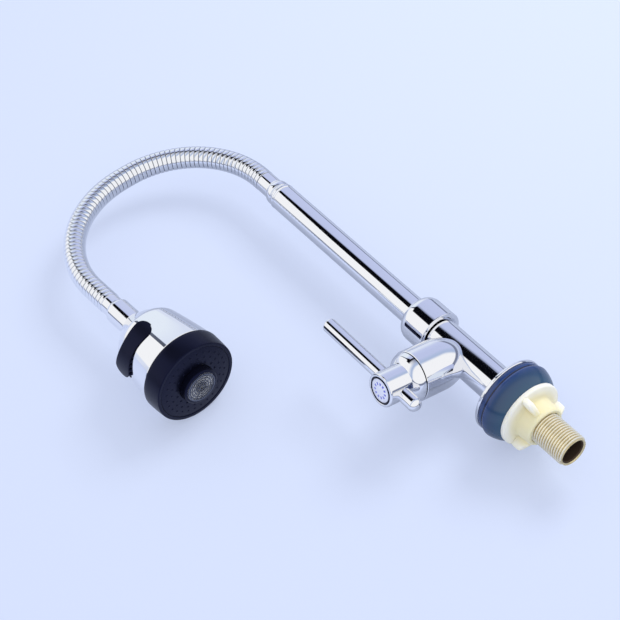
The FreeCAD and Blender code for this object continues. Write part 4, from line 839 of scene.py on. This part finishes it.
def curved_plate(name, grow, inner, outer, columns=56, rows=10):
    """A plate with the rocker's outline, bent round the head's axis between two radii."""
    deselect()
    bpy.ops.mesh.primitive_grid_add(x_subdivisions=columns, y_subdivisions=rows, size=2)
    plate = bpy.context.object
    plate.name = name
    bpy.ops.object.mode_set(mode="EDIT")
    bpy.ops.mesh.select_all(action="SELECT")
    bpy.ops.mesh.extrude_region_move(TRANSFORM_OT_translate={"value": (0, 0, 1)})
    bpy.ops.mesh.select_all(action="SELECT")
    bpy.ops.mesh.normals_make_consistent(inside=False)
    bpy.ops.object.mode_set(mode="OBJECT")
    for vertex in plate.data.vertices:
        along, half_width = rocker_outline(grow, vertex.co.x)
        angle = along / ROCKER_RADIUS
        radius = (outer if vertex.co.z > 0.5 else inner) * MM
        height = ROCKER_STATION + half_width * vertex.co.y
        vertex.co = (radius * math.cos(angle), radius * math.sin(angle), height * MM)
    return plate


window = curved_plate("window_cutter", WINDOW_GAP, *WINDOW_DEPTHS)
settle(window, head)
merge(bell, window, "DIFFERENCE")
smooth(bell, 36)
dress(bell, chrome, "polished_chrome", "head", "bell_shell")


# Diverter rocker: a black moulded bar in the bell's window, tipped about its pin.
# Its ends are broad and round, its waist is narrow, and its front edge has small grips for a thumb.
# A web behind it carries the pin.
def block(middle, size, edge_mm):
    """A block with rounded edges, with its middle and size in mm."""
    deselect()
    bpy.ops.mesh.primitive_cube_add(size=1, location=[part * MM for part in middle],
                                    scale=[part * MM for part in size])
    made = bpy.context.object
    settle(made)
    modify(made, "BEVEL", width=edge_mm * MM, segments=3, limit_method="ANGLE", angle_limit=math.radians(30))
    return made


ROCKER_THICKNESS = 3.4
ROCKER_EDGE = 1.1
ROCKER_TILT = 6
GRIPS = 5
GRIP_FIRST = 5
GRIP_STEP = 7
GRIP_SIZE = (2.6, 1.9, 3.4)
GRIP_EDGE = 0.7
GRIP_SUNK = 1.6
WEB_SIZE = (7.0, 6.0, 6.0)
WEB_RADIUS = 22.0
WEB_EDGE = 1.2
pin_distance = towards_pin.dot(pin_place - head_place)
rocker = curved_plate("diverter_rocker_bar", 0, ROCKER_RADIUS - ROCKER_THICKNESS, ROCKER_RADIUS)
modify(rocker, "BEVEL", width=ROCKER_EDGE * MM, segments=4, limit_method="ANGLE",
       angle_limit=math.radians(50), use_clamp_overlap=True)
for index in range(GRIPS):
    angle = math.radians(GRIP_FIRST + GRIP_STEP * index)
    grip = block((0, 0, 0), GRIP_SIZE, GRIP_EDGE)
    share = math.asin(angle * ROCKER_RADIUS / rocker_half) * 2 / math.pi
    edge = ROCKER_STATION + rocker_outline(0, share)[1] - GRIP_EDGE
    radius = ROCKER_RADIUS - GRIP_SUNK
    settle(grip, Matrix.Translation((radius * math.cos(angle) * MM, radius * math.sin(angle) * MM, edge * MM))
           @ Matrix.Rotation(angle, 4, "Z"))
    merge(rocker, grip)
merge(rocker, block((WEB_RADIUS, 0, ROCKER_STATION), WEB_SIZE, WEB_EDGE))
tilt = (Matrix.Translation((pin_distance, 0, 0)) @ Matrix.Rotation(math.radians(-ROCKER_TILT), 4, "Z")
        @ Matrix.Translation((-pin_distance, 0, 0)))
settle(rocker, head @ tilt)
smooth(rocker, 40)
dress(rocker, black, "black_moulding", "rocker", "diverter_rocker")

# Face ring: the rim of the spray face, moulded in black with a slight flare.
# It is pushed into the bell's mouth and holds the nozzle plate.
FACE_START = RIM + 0.3
FACE_END = FACE_START + 14
FACE_RADIUS = 29.5
FRONT_RADIUS = 28.8
RING_INNER = 24.0
PLATE_BACK = FACE_END - 4
PLATE_RADIUS = 26.25
seat_radius = PLATE_RADIUS + 0.05
face_ring = lathe("face_ring_rim", [
    (RING_INNER, FACE_START - 5), (26.5, FACE_START - 5), (26.8, FACE_START), (FACE_RADIUS - 0.4, FACE_START),
    *arc((FACE_RADIUS - 0.4, FACE_START), (FACE_RADIUS, FACE_START + 0.4), 0.4, 3)[1:],
    *arc((FACE_RADIUS, FACE_START + 0.4), (FRONT_RADIUS, FACE_END - 0.5), 150, 6)[1:],
    *arc((FRONT_RADIUS, FACE_END - 0.5), (FRONT_RADIUS - 0.5, FACE_END), 0.5, 5)[1:],
    (26.6, FACE_END), (seat_radius, FACE_END - 0.25), (seat_radius, PLATE_BACK), (RING_INNER, PLATE_BACK),
], steps=144, place=head)
smooth(face_ring)
dress(face_ring, black, "black_moulding", "head", "face_ring")

# Nozzle plate: a slightly crowned black disc, seated in the face ring.
# Its three rings of soft nozzles are moulded in one with it.
PLATE_FRONT = PLATE_BACK + 3.7
CROWN = 0.9
PLATE_INNER = 12.55
NOZZLE_RADIUS = 0.8
NOZZLE_HEIGHT = 0.35
NOZZLE_RINGS = ((15.1, 16, 0.95), (18.7, 22, 0.7), (22.3, 28, 0.4))
crown_top = PLATE_FRONT + CROWN
plate = lathe("nozzle_plate_disc", [
    (PLATE_INNER, PLATE_BACK), (PLATE_RADIUS, PLATE_BACK), (PLATE_RADIUS, PLATE_FRONT - 0.2),
    *arc((PLATE_RADIUS - 0.2, PLATE_FRONT), (PLATE_INNER + 0.25, crown_top), 90, 10),
    (PLATE_INNER, crown_top - 0.2),
], steps=144)
for ring_radius, count, crown in NOZZLE_RINGS:
    foot = PLATE_FRONT + crown
    nozzle = lathe("nozzle", [
        (0, foot - 1), (NOZZLE_RADIUS, foot - 1), (NOZZLE_RADIUS, foot), (0.6, foot + 0.3),
        (0.2, foot + NOZZLE_HEIGHT), (0.15, foot + 0.1), (0, foot + 0.1),
    ], closed=False, steps=12)
    for index in range(count):
        pick(nozzle)
        bpy.ops.object.duplicate()
        copy = bpy.context.object
        settle(copy, Matrix.Rotation(2 * math.pi * index / count, 4, "Z")
               @ Matrix.Translation((ring_radius * MM, 0, 0)))
        pick(plate)
        copy.select_set(True)
        bpy.ops.object.join()
    bpy.data.objects.remove(nozzle)
settle(plate, head)
smooth(plate)
dress(plate, black, "black_moulding", "head", "nozzle_plate")

# Aerator housing: a round boss that stands out of the face, with a rolled edge.
# It is moulded in black and screws into the head's middle.
AERATOR_START = 75.3
AERATOR_FLOOR = 78.9
AERATOR_END = FACE_END + 6
HOUSING_RADIUS = 12.5
AERATOR_BORE = 8.45
CUP_RADIUS = 10.5
housing = lathe("aerator_housing_boss", [
    (AERATOR_BORE, AERATOR_START), (HOUSING_RADIUS, AERATOR_START), (HOUSING_RADIUS, AERATOR_END - 1.2),
    *arc((HOUSING_RADIUS, AERATOR_END - 1.2), (HOUSING_RADIUS - 1.2, AERATOR_END), 1.2, 5)[1:],
    *arc((CUP_RADIUS + 0.4, AERATOR_END), (CUP_RADIUS, AERATOR_END - 0.4), 0.4, 3),
    (CUP_RADIUS, AERATOR_FLOOR), (AERATOR_BORE, AERATOR_FLOOR),
], steps=128, place=head)
smooth(housing)
dress(housing, black, "black_moulding", "head", "aerator_housing")

# Aerator mesh: stainless gauze, drawn to a shallow dome, under a stamped guard of rings and bars.
# It lies in the housing's cup, and its edge is rolled.
MESH_RADIUS = 10.35
MESH_TOP = AERATOR_END + 0.4
GUARD_RINGS = (1.7, 3.5, 5.3, 7.1, 8.7)
GUARD_WIRE = 0.3
GUARD_DEPTH = 0.3
BARS = 12
BAR_RADIUS = 0.14
WIRE_RADIUS = 0.08
WIRE_SPACING = 0.9
WIRE_DEPTH = 0.66
WIRE_LIFT = 0.06
BAR_START = 1.6
gauze_reach = MESH_RADIUS - 0.6
steel, shader = new_material("stainless_gauze", "#666A78", Metallic=1.0, Roughness=0.3)
uneven_gloss(steel, shader, 1.0, 0.22, 0.4)
guard = lathe("aerator_gauze", [
    (MESH_RADIUS - 0.9, MESH_TOP - 0.45), (MESH_RADIUS, MESH_TOP - 0.7), (MESH_RADIUS, MESH_TOP - 0.2),
    (MESH_RADIUS - 0.5, MESH_TOP), (MESH_RADIUS - 0.9, MESH_TOP - 0.1),
], steps=96)


def rod_across(radius, length, sides, middle, turned):
    """A thin round wire that lies flat through a place in mm, turned about the head's axis."""
    deselect()
    bpy.ops.mesh.primitive_cylinder_add(vertices=sides, radius=radius * MM, depth=length * MM)
    made = bpy.context.object
    settle(made, Matrix.Rotation(math.radians(turned), 4, "Z") @ Matrix.Translation(Vector(middle) * MM)
           @ Matrix.Rotation(math.radians(90), 4, "Y"))
    return made


pieces = []
for radius in GUARD_RINGS:
    deselect()
    bpy.ops.mesh.primitive_torus_add(major_radius=radius * MM, minor_radius=GUARD_WIRE * MM,
                                     major_segments=72, minor_segments=8,
                                     location=(0, 0, (MESH_TOP - GUARD_DEPTH) * MM))
    pieces.append(bpy.context.object)
for index in range(BARS):
    middle = ((BAR_START + gauze_reach) / 2, 0, MESH_TOP - GUARD_DEPTH)
    pieces.append(rod_across(BAR_RADIUS, gauze_reach - BAR_START, 8, middle, 360 / BARS * index))
wires = int(2 * gauze_reach / WIRE_SPACING)
for index in range(wires):
    offset = (index - (wires - 1) / 2) * WIRE_SPACING
    length = 2 * math.sqrt(gauze_reach ** 2 - offset ** 2)
    for turned in (0, 90):
        level = MESH_TOP - WIRE_DEPTH + (WIRE_LIFT if turned else -WIRE_LIFT)
        pieces.append(rod_across(WIRE_RADIUS, length, 6, (0, offset, level), turned))
pick(guard)
for piece in pieces:
    piece.select_set(True)
bpy.ops.object.join()
settle(guard, head)
smooth(guard, 50)
dress(guard, steel, "stainless_mesh", "head", "aerator_mesh")

# Pieces that stay inside: valve, seals, headwork, riser foot, diverter core and the hose within the neck.
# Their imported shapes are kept, and each gets the stuff that it is made of, with its grain in mm.
node = frame["nodes"]
for stuff, hue, metallic, grain_mm, low, high, names in (
    ("machined_brass", "#D9BE78", 1.0, 3.0, 0.22, 0.38,
     ("riser_foot", "headwork_body", "headwork_nut", "valve_spindle")),
    ("nitrile_rubber", "#17171A", 0.0, 1.0, 0.45, 0.65,
     ("valve_seal", "spindle_oring", "riser_oring_lower", "riser_oring_upper", "head_washer",
      "spool_oring_left", "spool_oring_right")),
    ("lapped_alumina", "#EFEAE0", 0.0, 2.0, 0.15, 0.28, ("valve_disc_fixed", "valve_disc_moving")),
    ("white_acetal", "#E6E6E4", 0.0, 4.0, 0.32, 0.48, ("swivel_washer", "diverter_spool", "aerator_insert")),
    ("grey_acetal", "#6E7074", 0.0, 4.0, 0.36, 0.52, ("diverter_housing",)),
    ("soft_pvc_hose", "#C6C6C0", 0.0, 5.0, 0.28, 0.42,
     [f"neck_liner_{index}" for index in range(1, SECTIONS + 1)]),
    ("turned_stainless", "#BFC1C6", 1.0, 1.5, 0.2, 0.36, ("handle_grub_screw", "rocker_pin")),
):
    made_of, shader = new_material(stuff, hue, Metallic=metallic)
    uneven_gloss(made_of, shader, grain_mm, low, high)
    for name in names:
        node[name].data.materials.clear()
        node[name].data.materials.append(made_of)

# Table: the pale lavender top that the tap lies on, matt, seen only from the side that the object is on.
# Half of its look is a plain colour and half is lit, which keeps the tap's soft shadow.
# Polished metal sees it painted darker near the riser: painted shade that stands for the tap's shadow there.
TABLE_SIZE = 3.0
TABLE_PLACE = (0.07, -0.0296, 0.15)
TABLE_COLOUR = "#D0DAF2"
BACKGROUND = "#D8E2FD"
BACKGROUND_SHARE = 0.5
MIRROR_PAINTED_SHADE = 0.35
SHADED_TO = 0.07
CLEAR_FROM = 0.13
deselect()
bpy.ops.mesh.primitive_plane_add(size=TABLE_SIZE, location=TABLE_PLACE, rotation=(math.radians(-90), 0, 0))
table = bpy.context.object
table.name = "table"
settle(table)
table_paint, shader = new_material("pale_lavender_table", TABLE_COLOUR, Roughness=0.6, Specular_IOR_Level=0.0)
rays = add_node(table_paint, "ShaderNodeLightPath")
looks = calc(table_paint, "MAXIMUM", rays.outputs["Is Camera Ray"], rays.outputs["Is Glossy Ray"])
looks = calc(table_paint, "MAXIMUM", looks, rays.outputs["Is Transmission Ray"])
looks = calc(table_paint, "MULTIPLY", looks, BACKGROUND_SHARE)
spot = add_node(table_paint, "ShaderNodeSeparateXYZ", {0: own_place(table_paint)})
# Below 0.07 m along X, the table's plain colour in mirrors is dimmed: painted shade near the riser.
mirrored_painted_shade = spread(table_paint, between(table_paint, spot.outputs["X"], SHADED_TO, CLEAR_FROM), MIRROR_PAINTED_SHADE, 1.0)
level = spread(table_paint, rays.outputs["Is Camera Ray"], mirrored_painted_shade, 1.0)
plain = add_node(table_paint, "ShaderNodeEmission", {"Color": linear(BACKGROUND), "Strength": level})
pale = add_node(table_paint, "ShaderNodeMixShader", {
    0: looks, 1: shader.outputs["BSDF"], 2: plain.outputs["Emission"],
})
sides = add_node(table_paint, "ShaderNodeMixShader", {
    0: add_node(table_paint, "ShaderNodeNewGeometry").outputs["Backfacing"], 1: pale.outputs["Shader"],
    2: add_node(table_paint, "ShaderNodeBsdfTransparent").outputs["BSDF"],
})
table_paint.node_tree.links.new(sides.outputs["Shader"],
                                table_paint.node_tree.nodes["Material Output"].inputs["Surface"])
table.data.materials.append(table_paint)

# The room: a big white window on one side, a pale lavender wall on the other and a black gap between them.
# Polished chrome shows these three as its bands, and everything else is lit evenly by the room's mean.
# Below them runs a grey skirting, and the camera sees the table's own colour all round.
# A change along the tap has two heights, of the view's rise, and its level at each.
GAP_START = (0.595, 0.64, math.radians(63.5), math.radians(77))
GAP_END = (0.49, 0.53, math.radians(118), math.radians(94))
GAP_NARROWS = (0.6, 0.76, 0, math.radians(-8))
GAP_LOW = 0.4
GAP_HIGH = 0.6
GAP_OPENS = (0.32, 0.42, 0, 1)
GAP_PALER = (0.66, 0.8, 0, 0.3)
WALL_FROM = 0.62
WALL_BRIGHTER = (0.6, 0.8, 0, 1)
FOOT_DEEPER = (0.0, 0.22, 1, 0)
FOOT_WHITE = (-0.2, -0.06, 1, 0)
SKIRTING_TOP = (0.10, 0.14)
SKIRTING_PALER = (0.6, 0.72, 0, 1)
world = bpy.data.worlds.new("studio")
bpy.context.scene.world = world
world.use_nodes = True
parts = add_node(world, "ShaderNodeSeparateXYZ", {0: own_place(world)})
turn = calc(world, "ARCTAN2", parts.outputs["Y"], parts.outputs["X"])


def rise(low, high, at_low, at_high):
    """A value that goes from one level to another as the view rises along the tap."""
    return add_node(world, "ShaderNodeMapRange", {
        "Value": parts.outputs["Z"], "From Min": low, "From Max": high, "To Min": at_low, "To Max": at_high,
    }).outputs["Result"]


gap_end = calc(world, "ADD", rise(*GAP_END), rise(*GAP_NARROWS))
place = add_node(world, "ShaderNodeMapRange", {
    "Value": turn, "From Min": rise(*GAP_START), "From Max": gap_end, "To Min": GAP_LOW, "To Max": GAP_HIGH,
}, clamp=False).outputs["Result"]
walls = banded(world, place, (
    (0.0, "#FFFFFF"), (0.395, "#FFFFFF"), (0.6, "#8088A2"), (0.66, "#C4CDEE"), (1.0, "#C8D1F2"),
))
in_gap = banded(world, place, (
    (0.0, "#000000"), (0.395, "#000000"), (0.405, "#FFFFFF"), (0.595, "#FFFFFF"), (0.61, "#000000"),
))
brighter = mixed(world, rise(*WALL_BRIGHTER), linear("#C6CFF0"), linear("#EEF6FF"))
beyond = calc(world, "GREATER_THAN", place, WALL_FROM)
wall = mixed(world, calc(world, "MULTIPLY", beyond, rise(*WALL_BRIGHTER)), walls, brighter)
gap_tone = mixed(world, rise(*GAP_PALER), linear("#05060C"), linear("#A8B2CC"))
wall = mixed(world, calc(world, "MULTIPLY", in_gap, rise(*GAP_OPENS)), wall, gap_tone)
wall = mixed(world, rise(*FOOT_DEEPER), wall, linear("#B4C4E2"))
wall = mixed(world, rise(*FOOT_WHITE), wall, linear("#FFFFFF"))
above = between(world, parts.outputs["Y"], *SKIRTING_TOP)
skirting = mixed(world, rise(*SKIRTING_PALER), linear("#7E859C"), linear("#E2E9FA"))
sky = world.node_tree.nodes["Background"]
world.node_tree.links.new(mixed(world, above, skirting, wall), sky.inputs["Color"])
sky.inputs["Strength"].default_value = 1.0
rays = add_node(world, "ShaderNodeLightPath")
even_tone = mixed(world, rays.outputs["Is Camera Ray"], linear("#F4F6FC"), linear(BACKGROUND))
even = add_node(world, "ShaderNodeBackground", {"Color": even_tone, "Strength": 1.0})
either = add_node(world, "ShaderNodeMixShader", {
    0: rays.outputs["Is Glossy Ray"], 1: even.outputs["Background"], 2: sky.outputs["Background"],
})
world.node_tree.links.new(either.outputs["Shader"], world.node_tree.nodes["World Output"].inputs["Surface"])

# Lamp: one weak softbox over the picture's upper edge, which gives the tap its faint shadow.
# Metal doesn't mirror it. The colours are shown as they are, with the plain view.
LAMP_PLACE = Vector((-0.75, 0.9, 0.25))
LAMP_AIM = Vector((0.05, 0, 0.15))
LAMP_SIDE = 0.5
LAMP_WATTS = 6
lamp = bpy.data.lights.new("upper_softbox", "AREA")
lamp.shape = "RECTANGLE"
lamp.size = lamp.size_y = LAMP_SIDE
lamp.energy = LAMP_WATTS
softbox = bpy.data.objects.new("upper_softbox", lamp)
softbox.location = LAMP_PLACE
softbox.rotation_mode = "QUATERNION"
softbox.rotation_quaternion = (LAMP_AIM - LAMP_PLACE).to_track_quat("-Z", "Y")
bpy.context.scene.collection.objects.link(softbox)
softbox.visible_glossy = False
bpy.context.scene.view_settings.view_transform = "Standard"
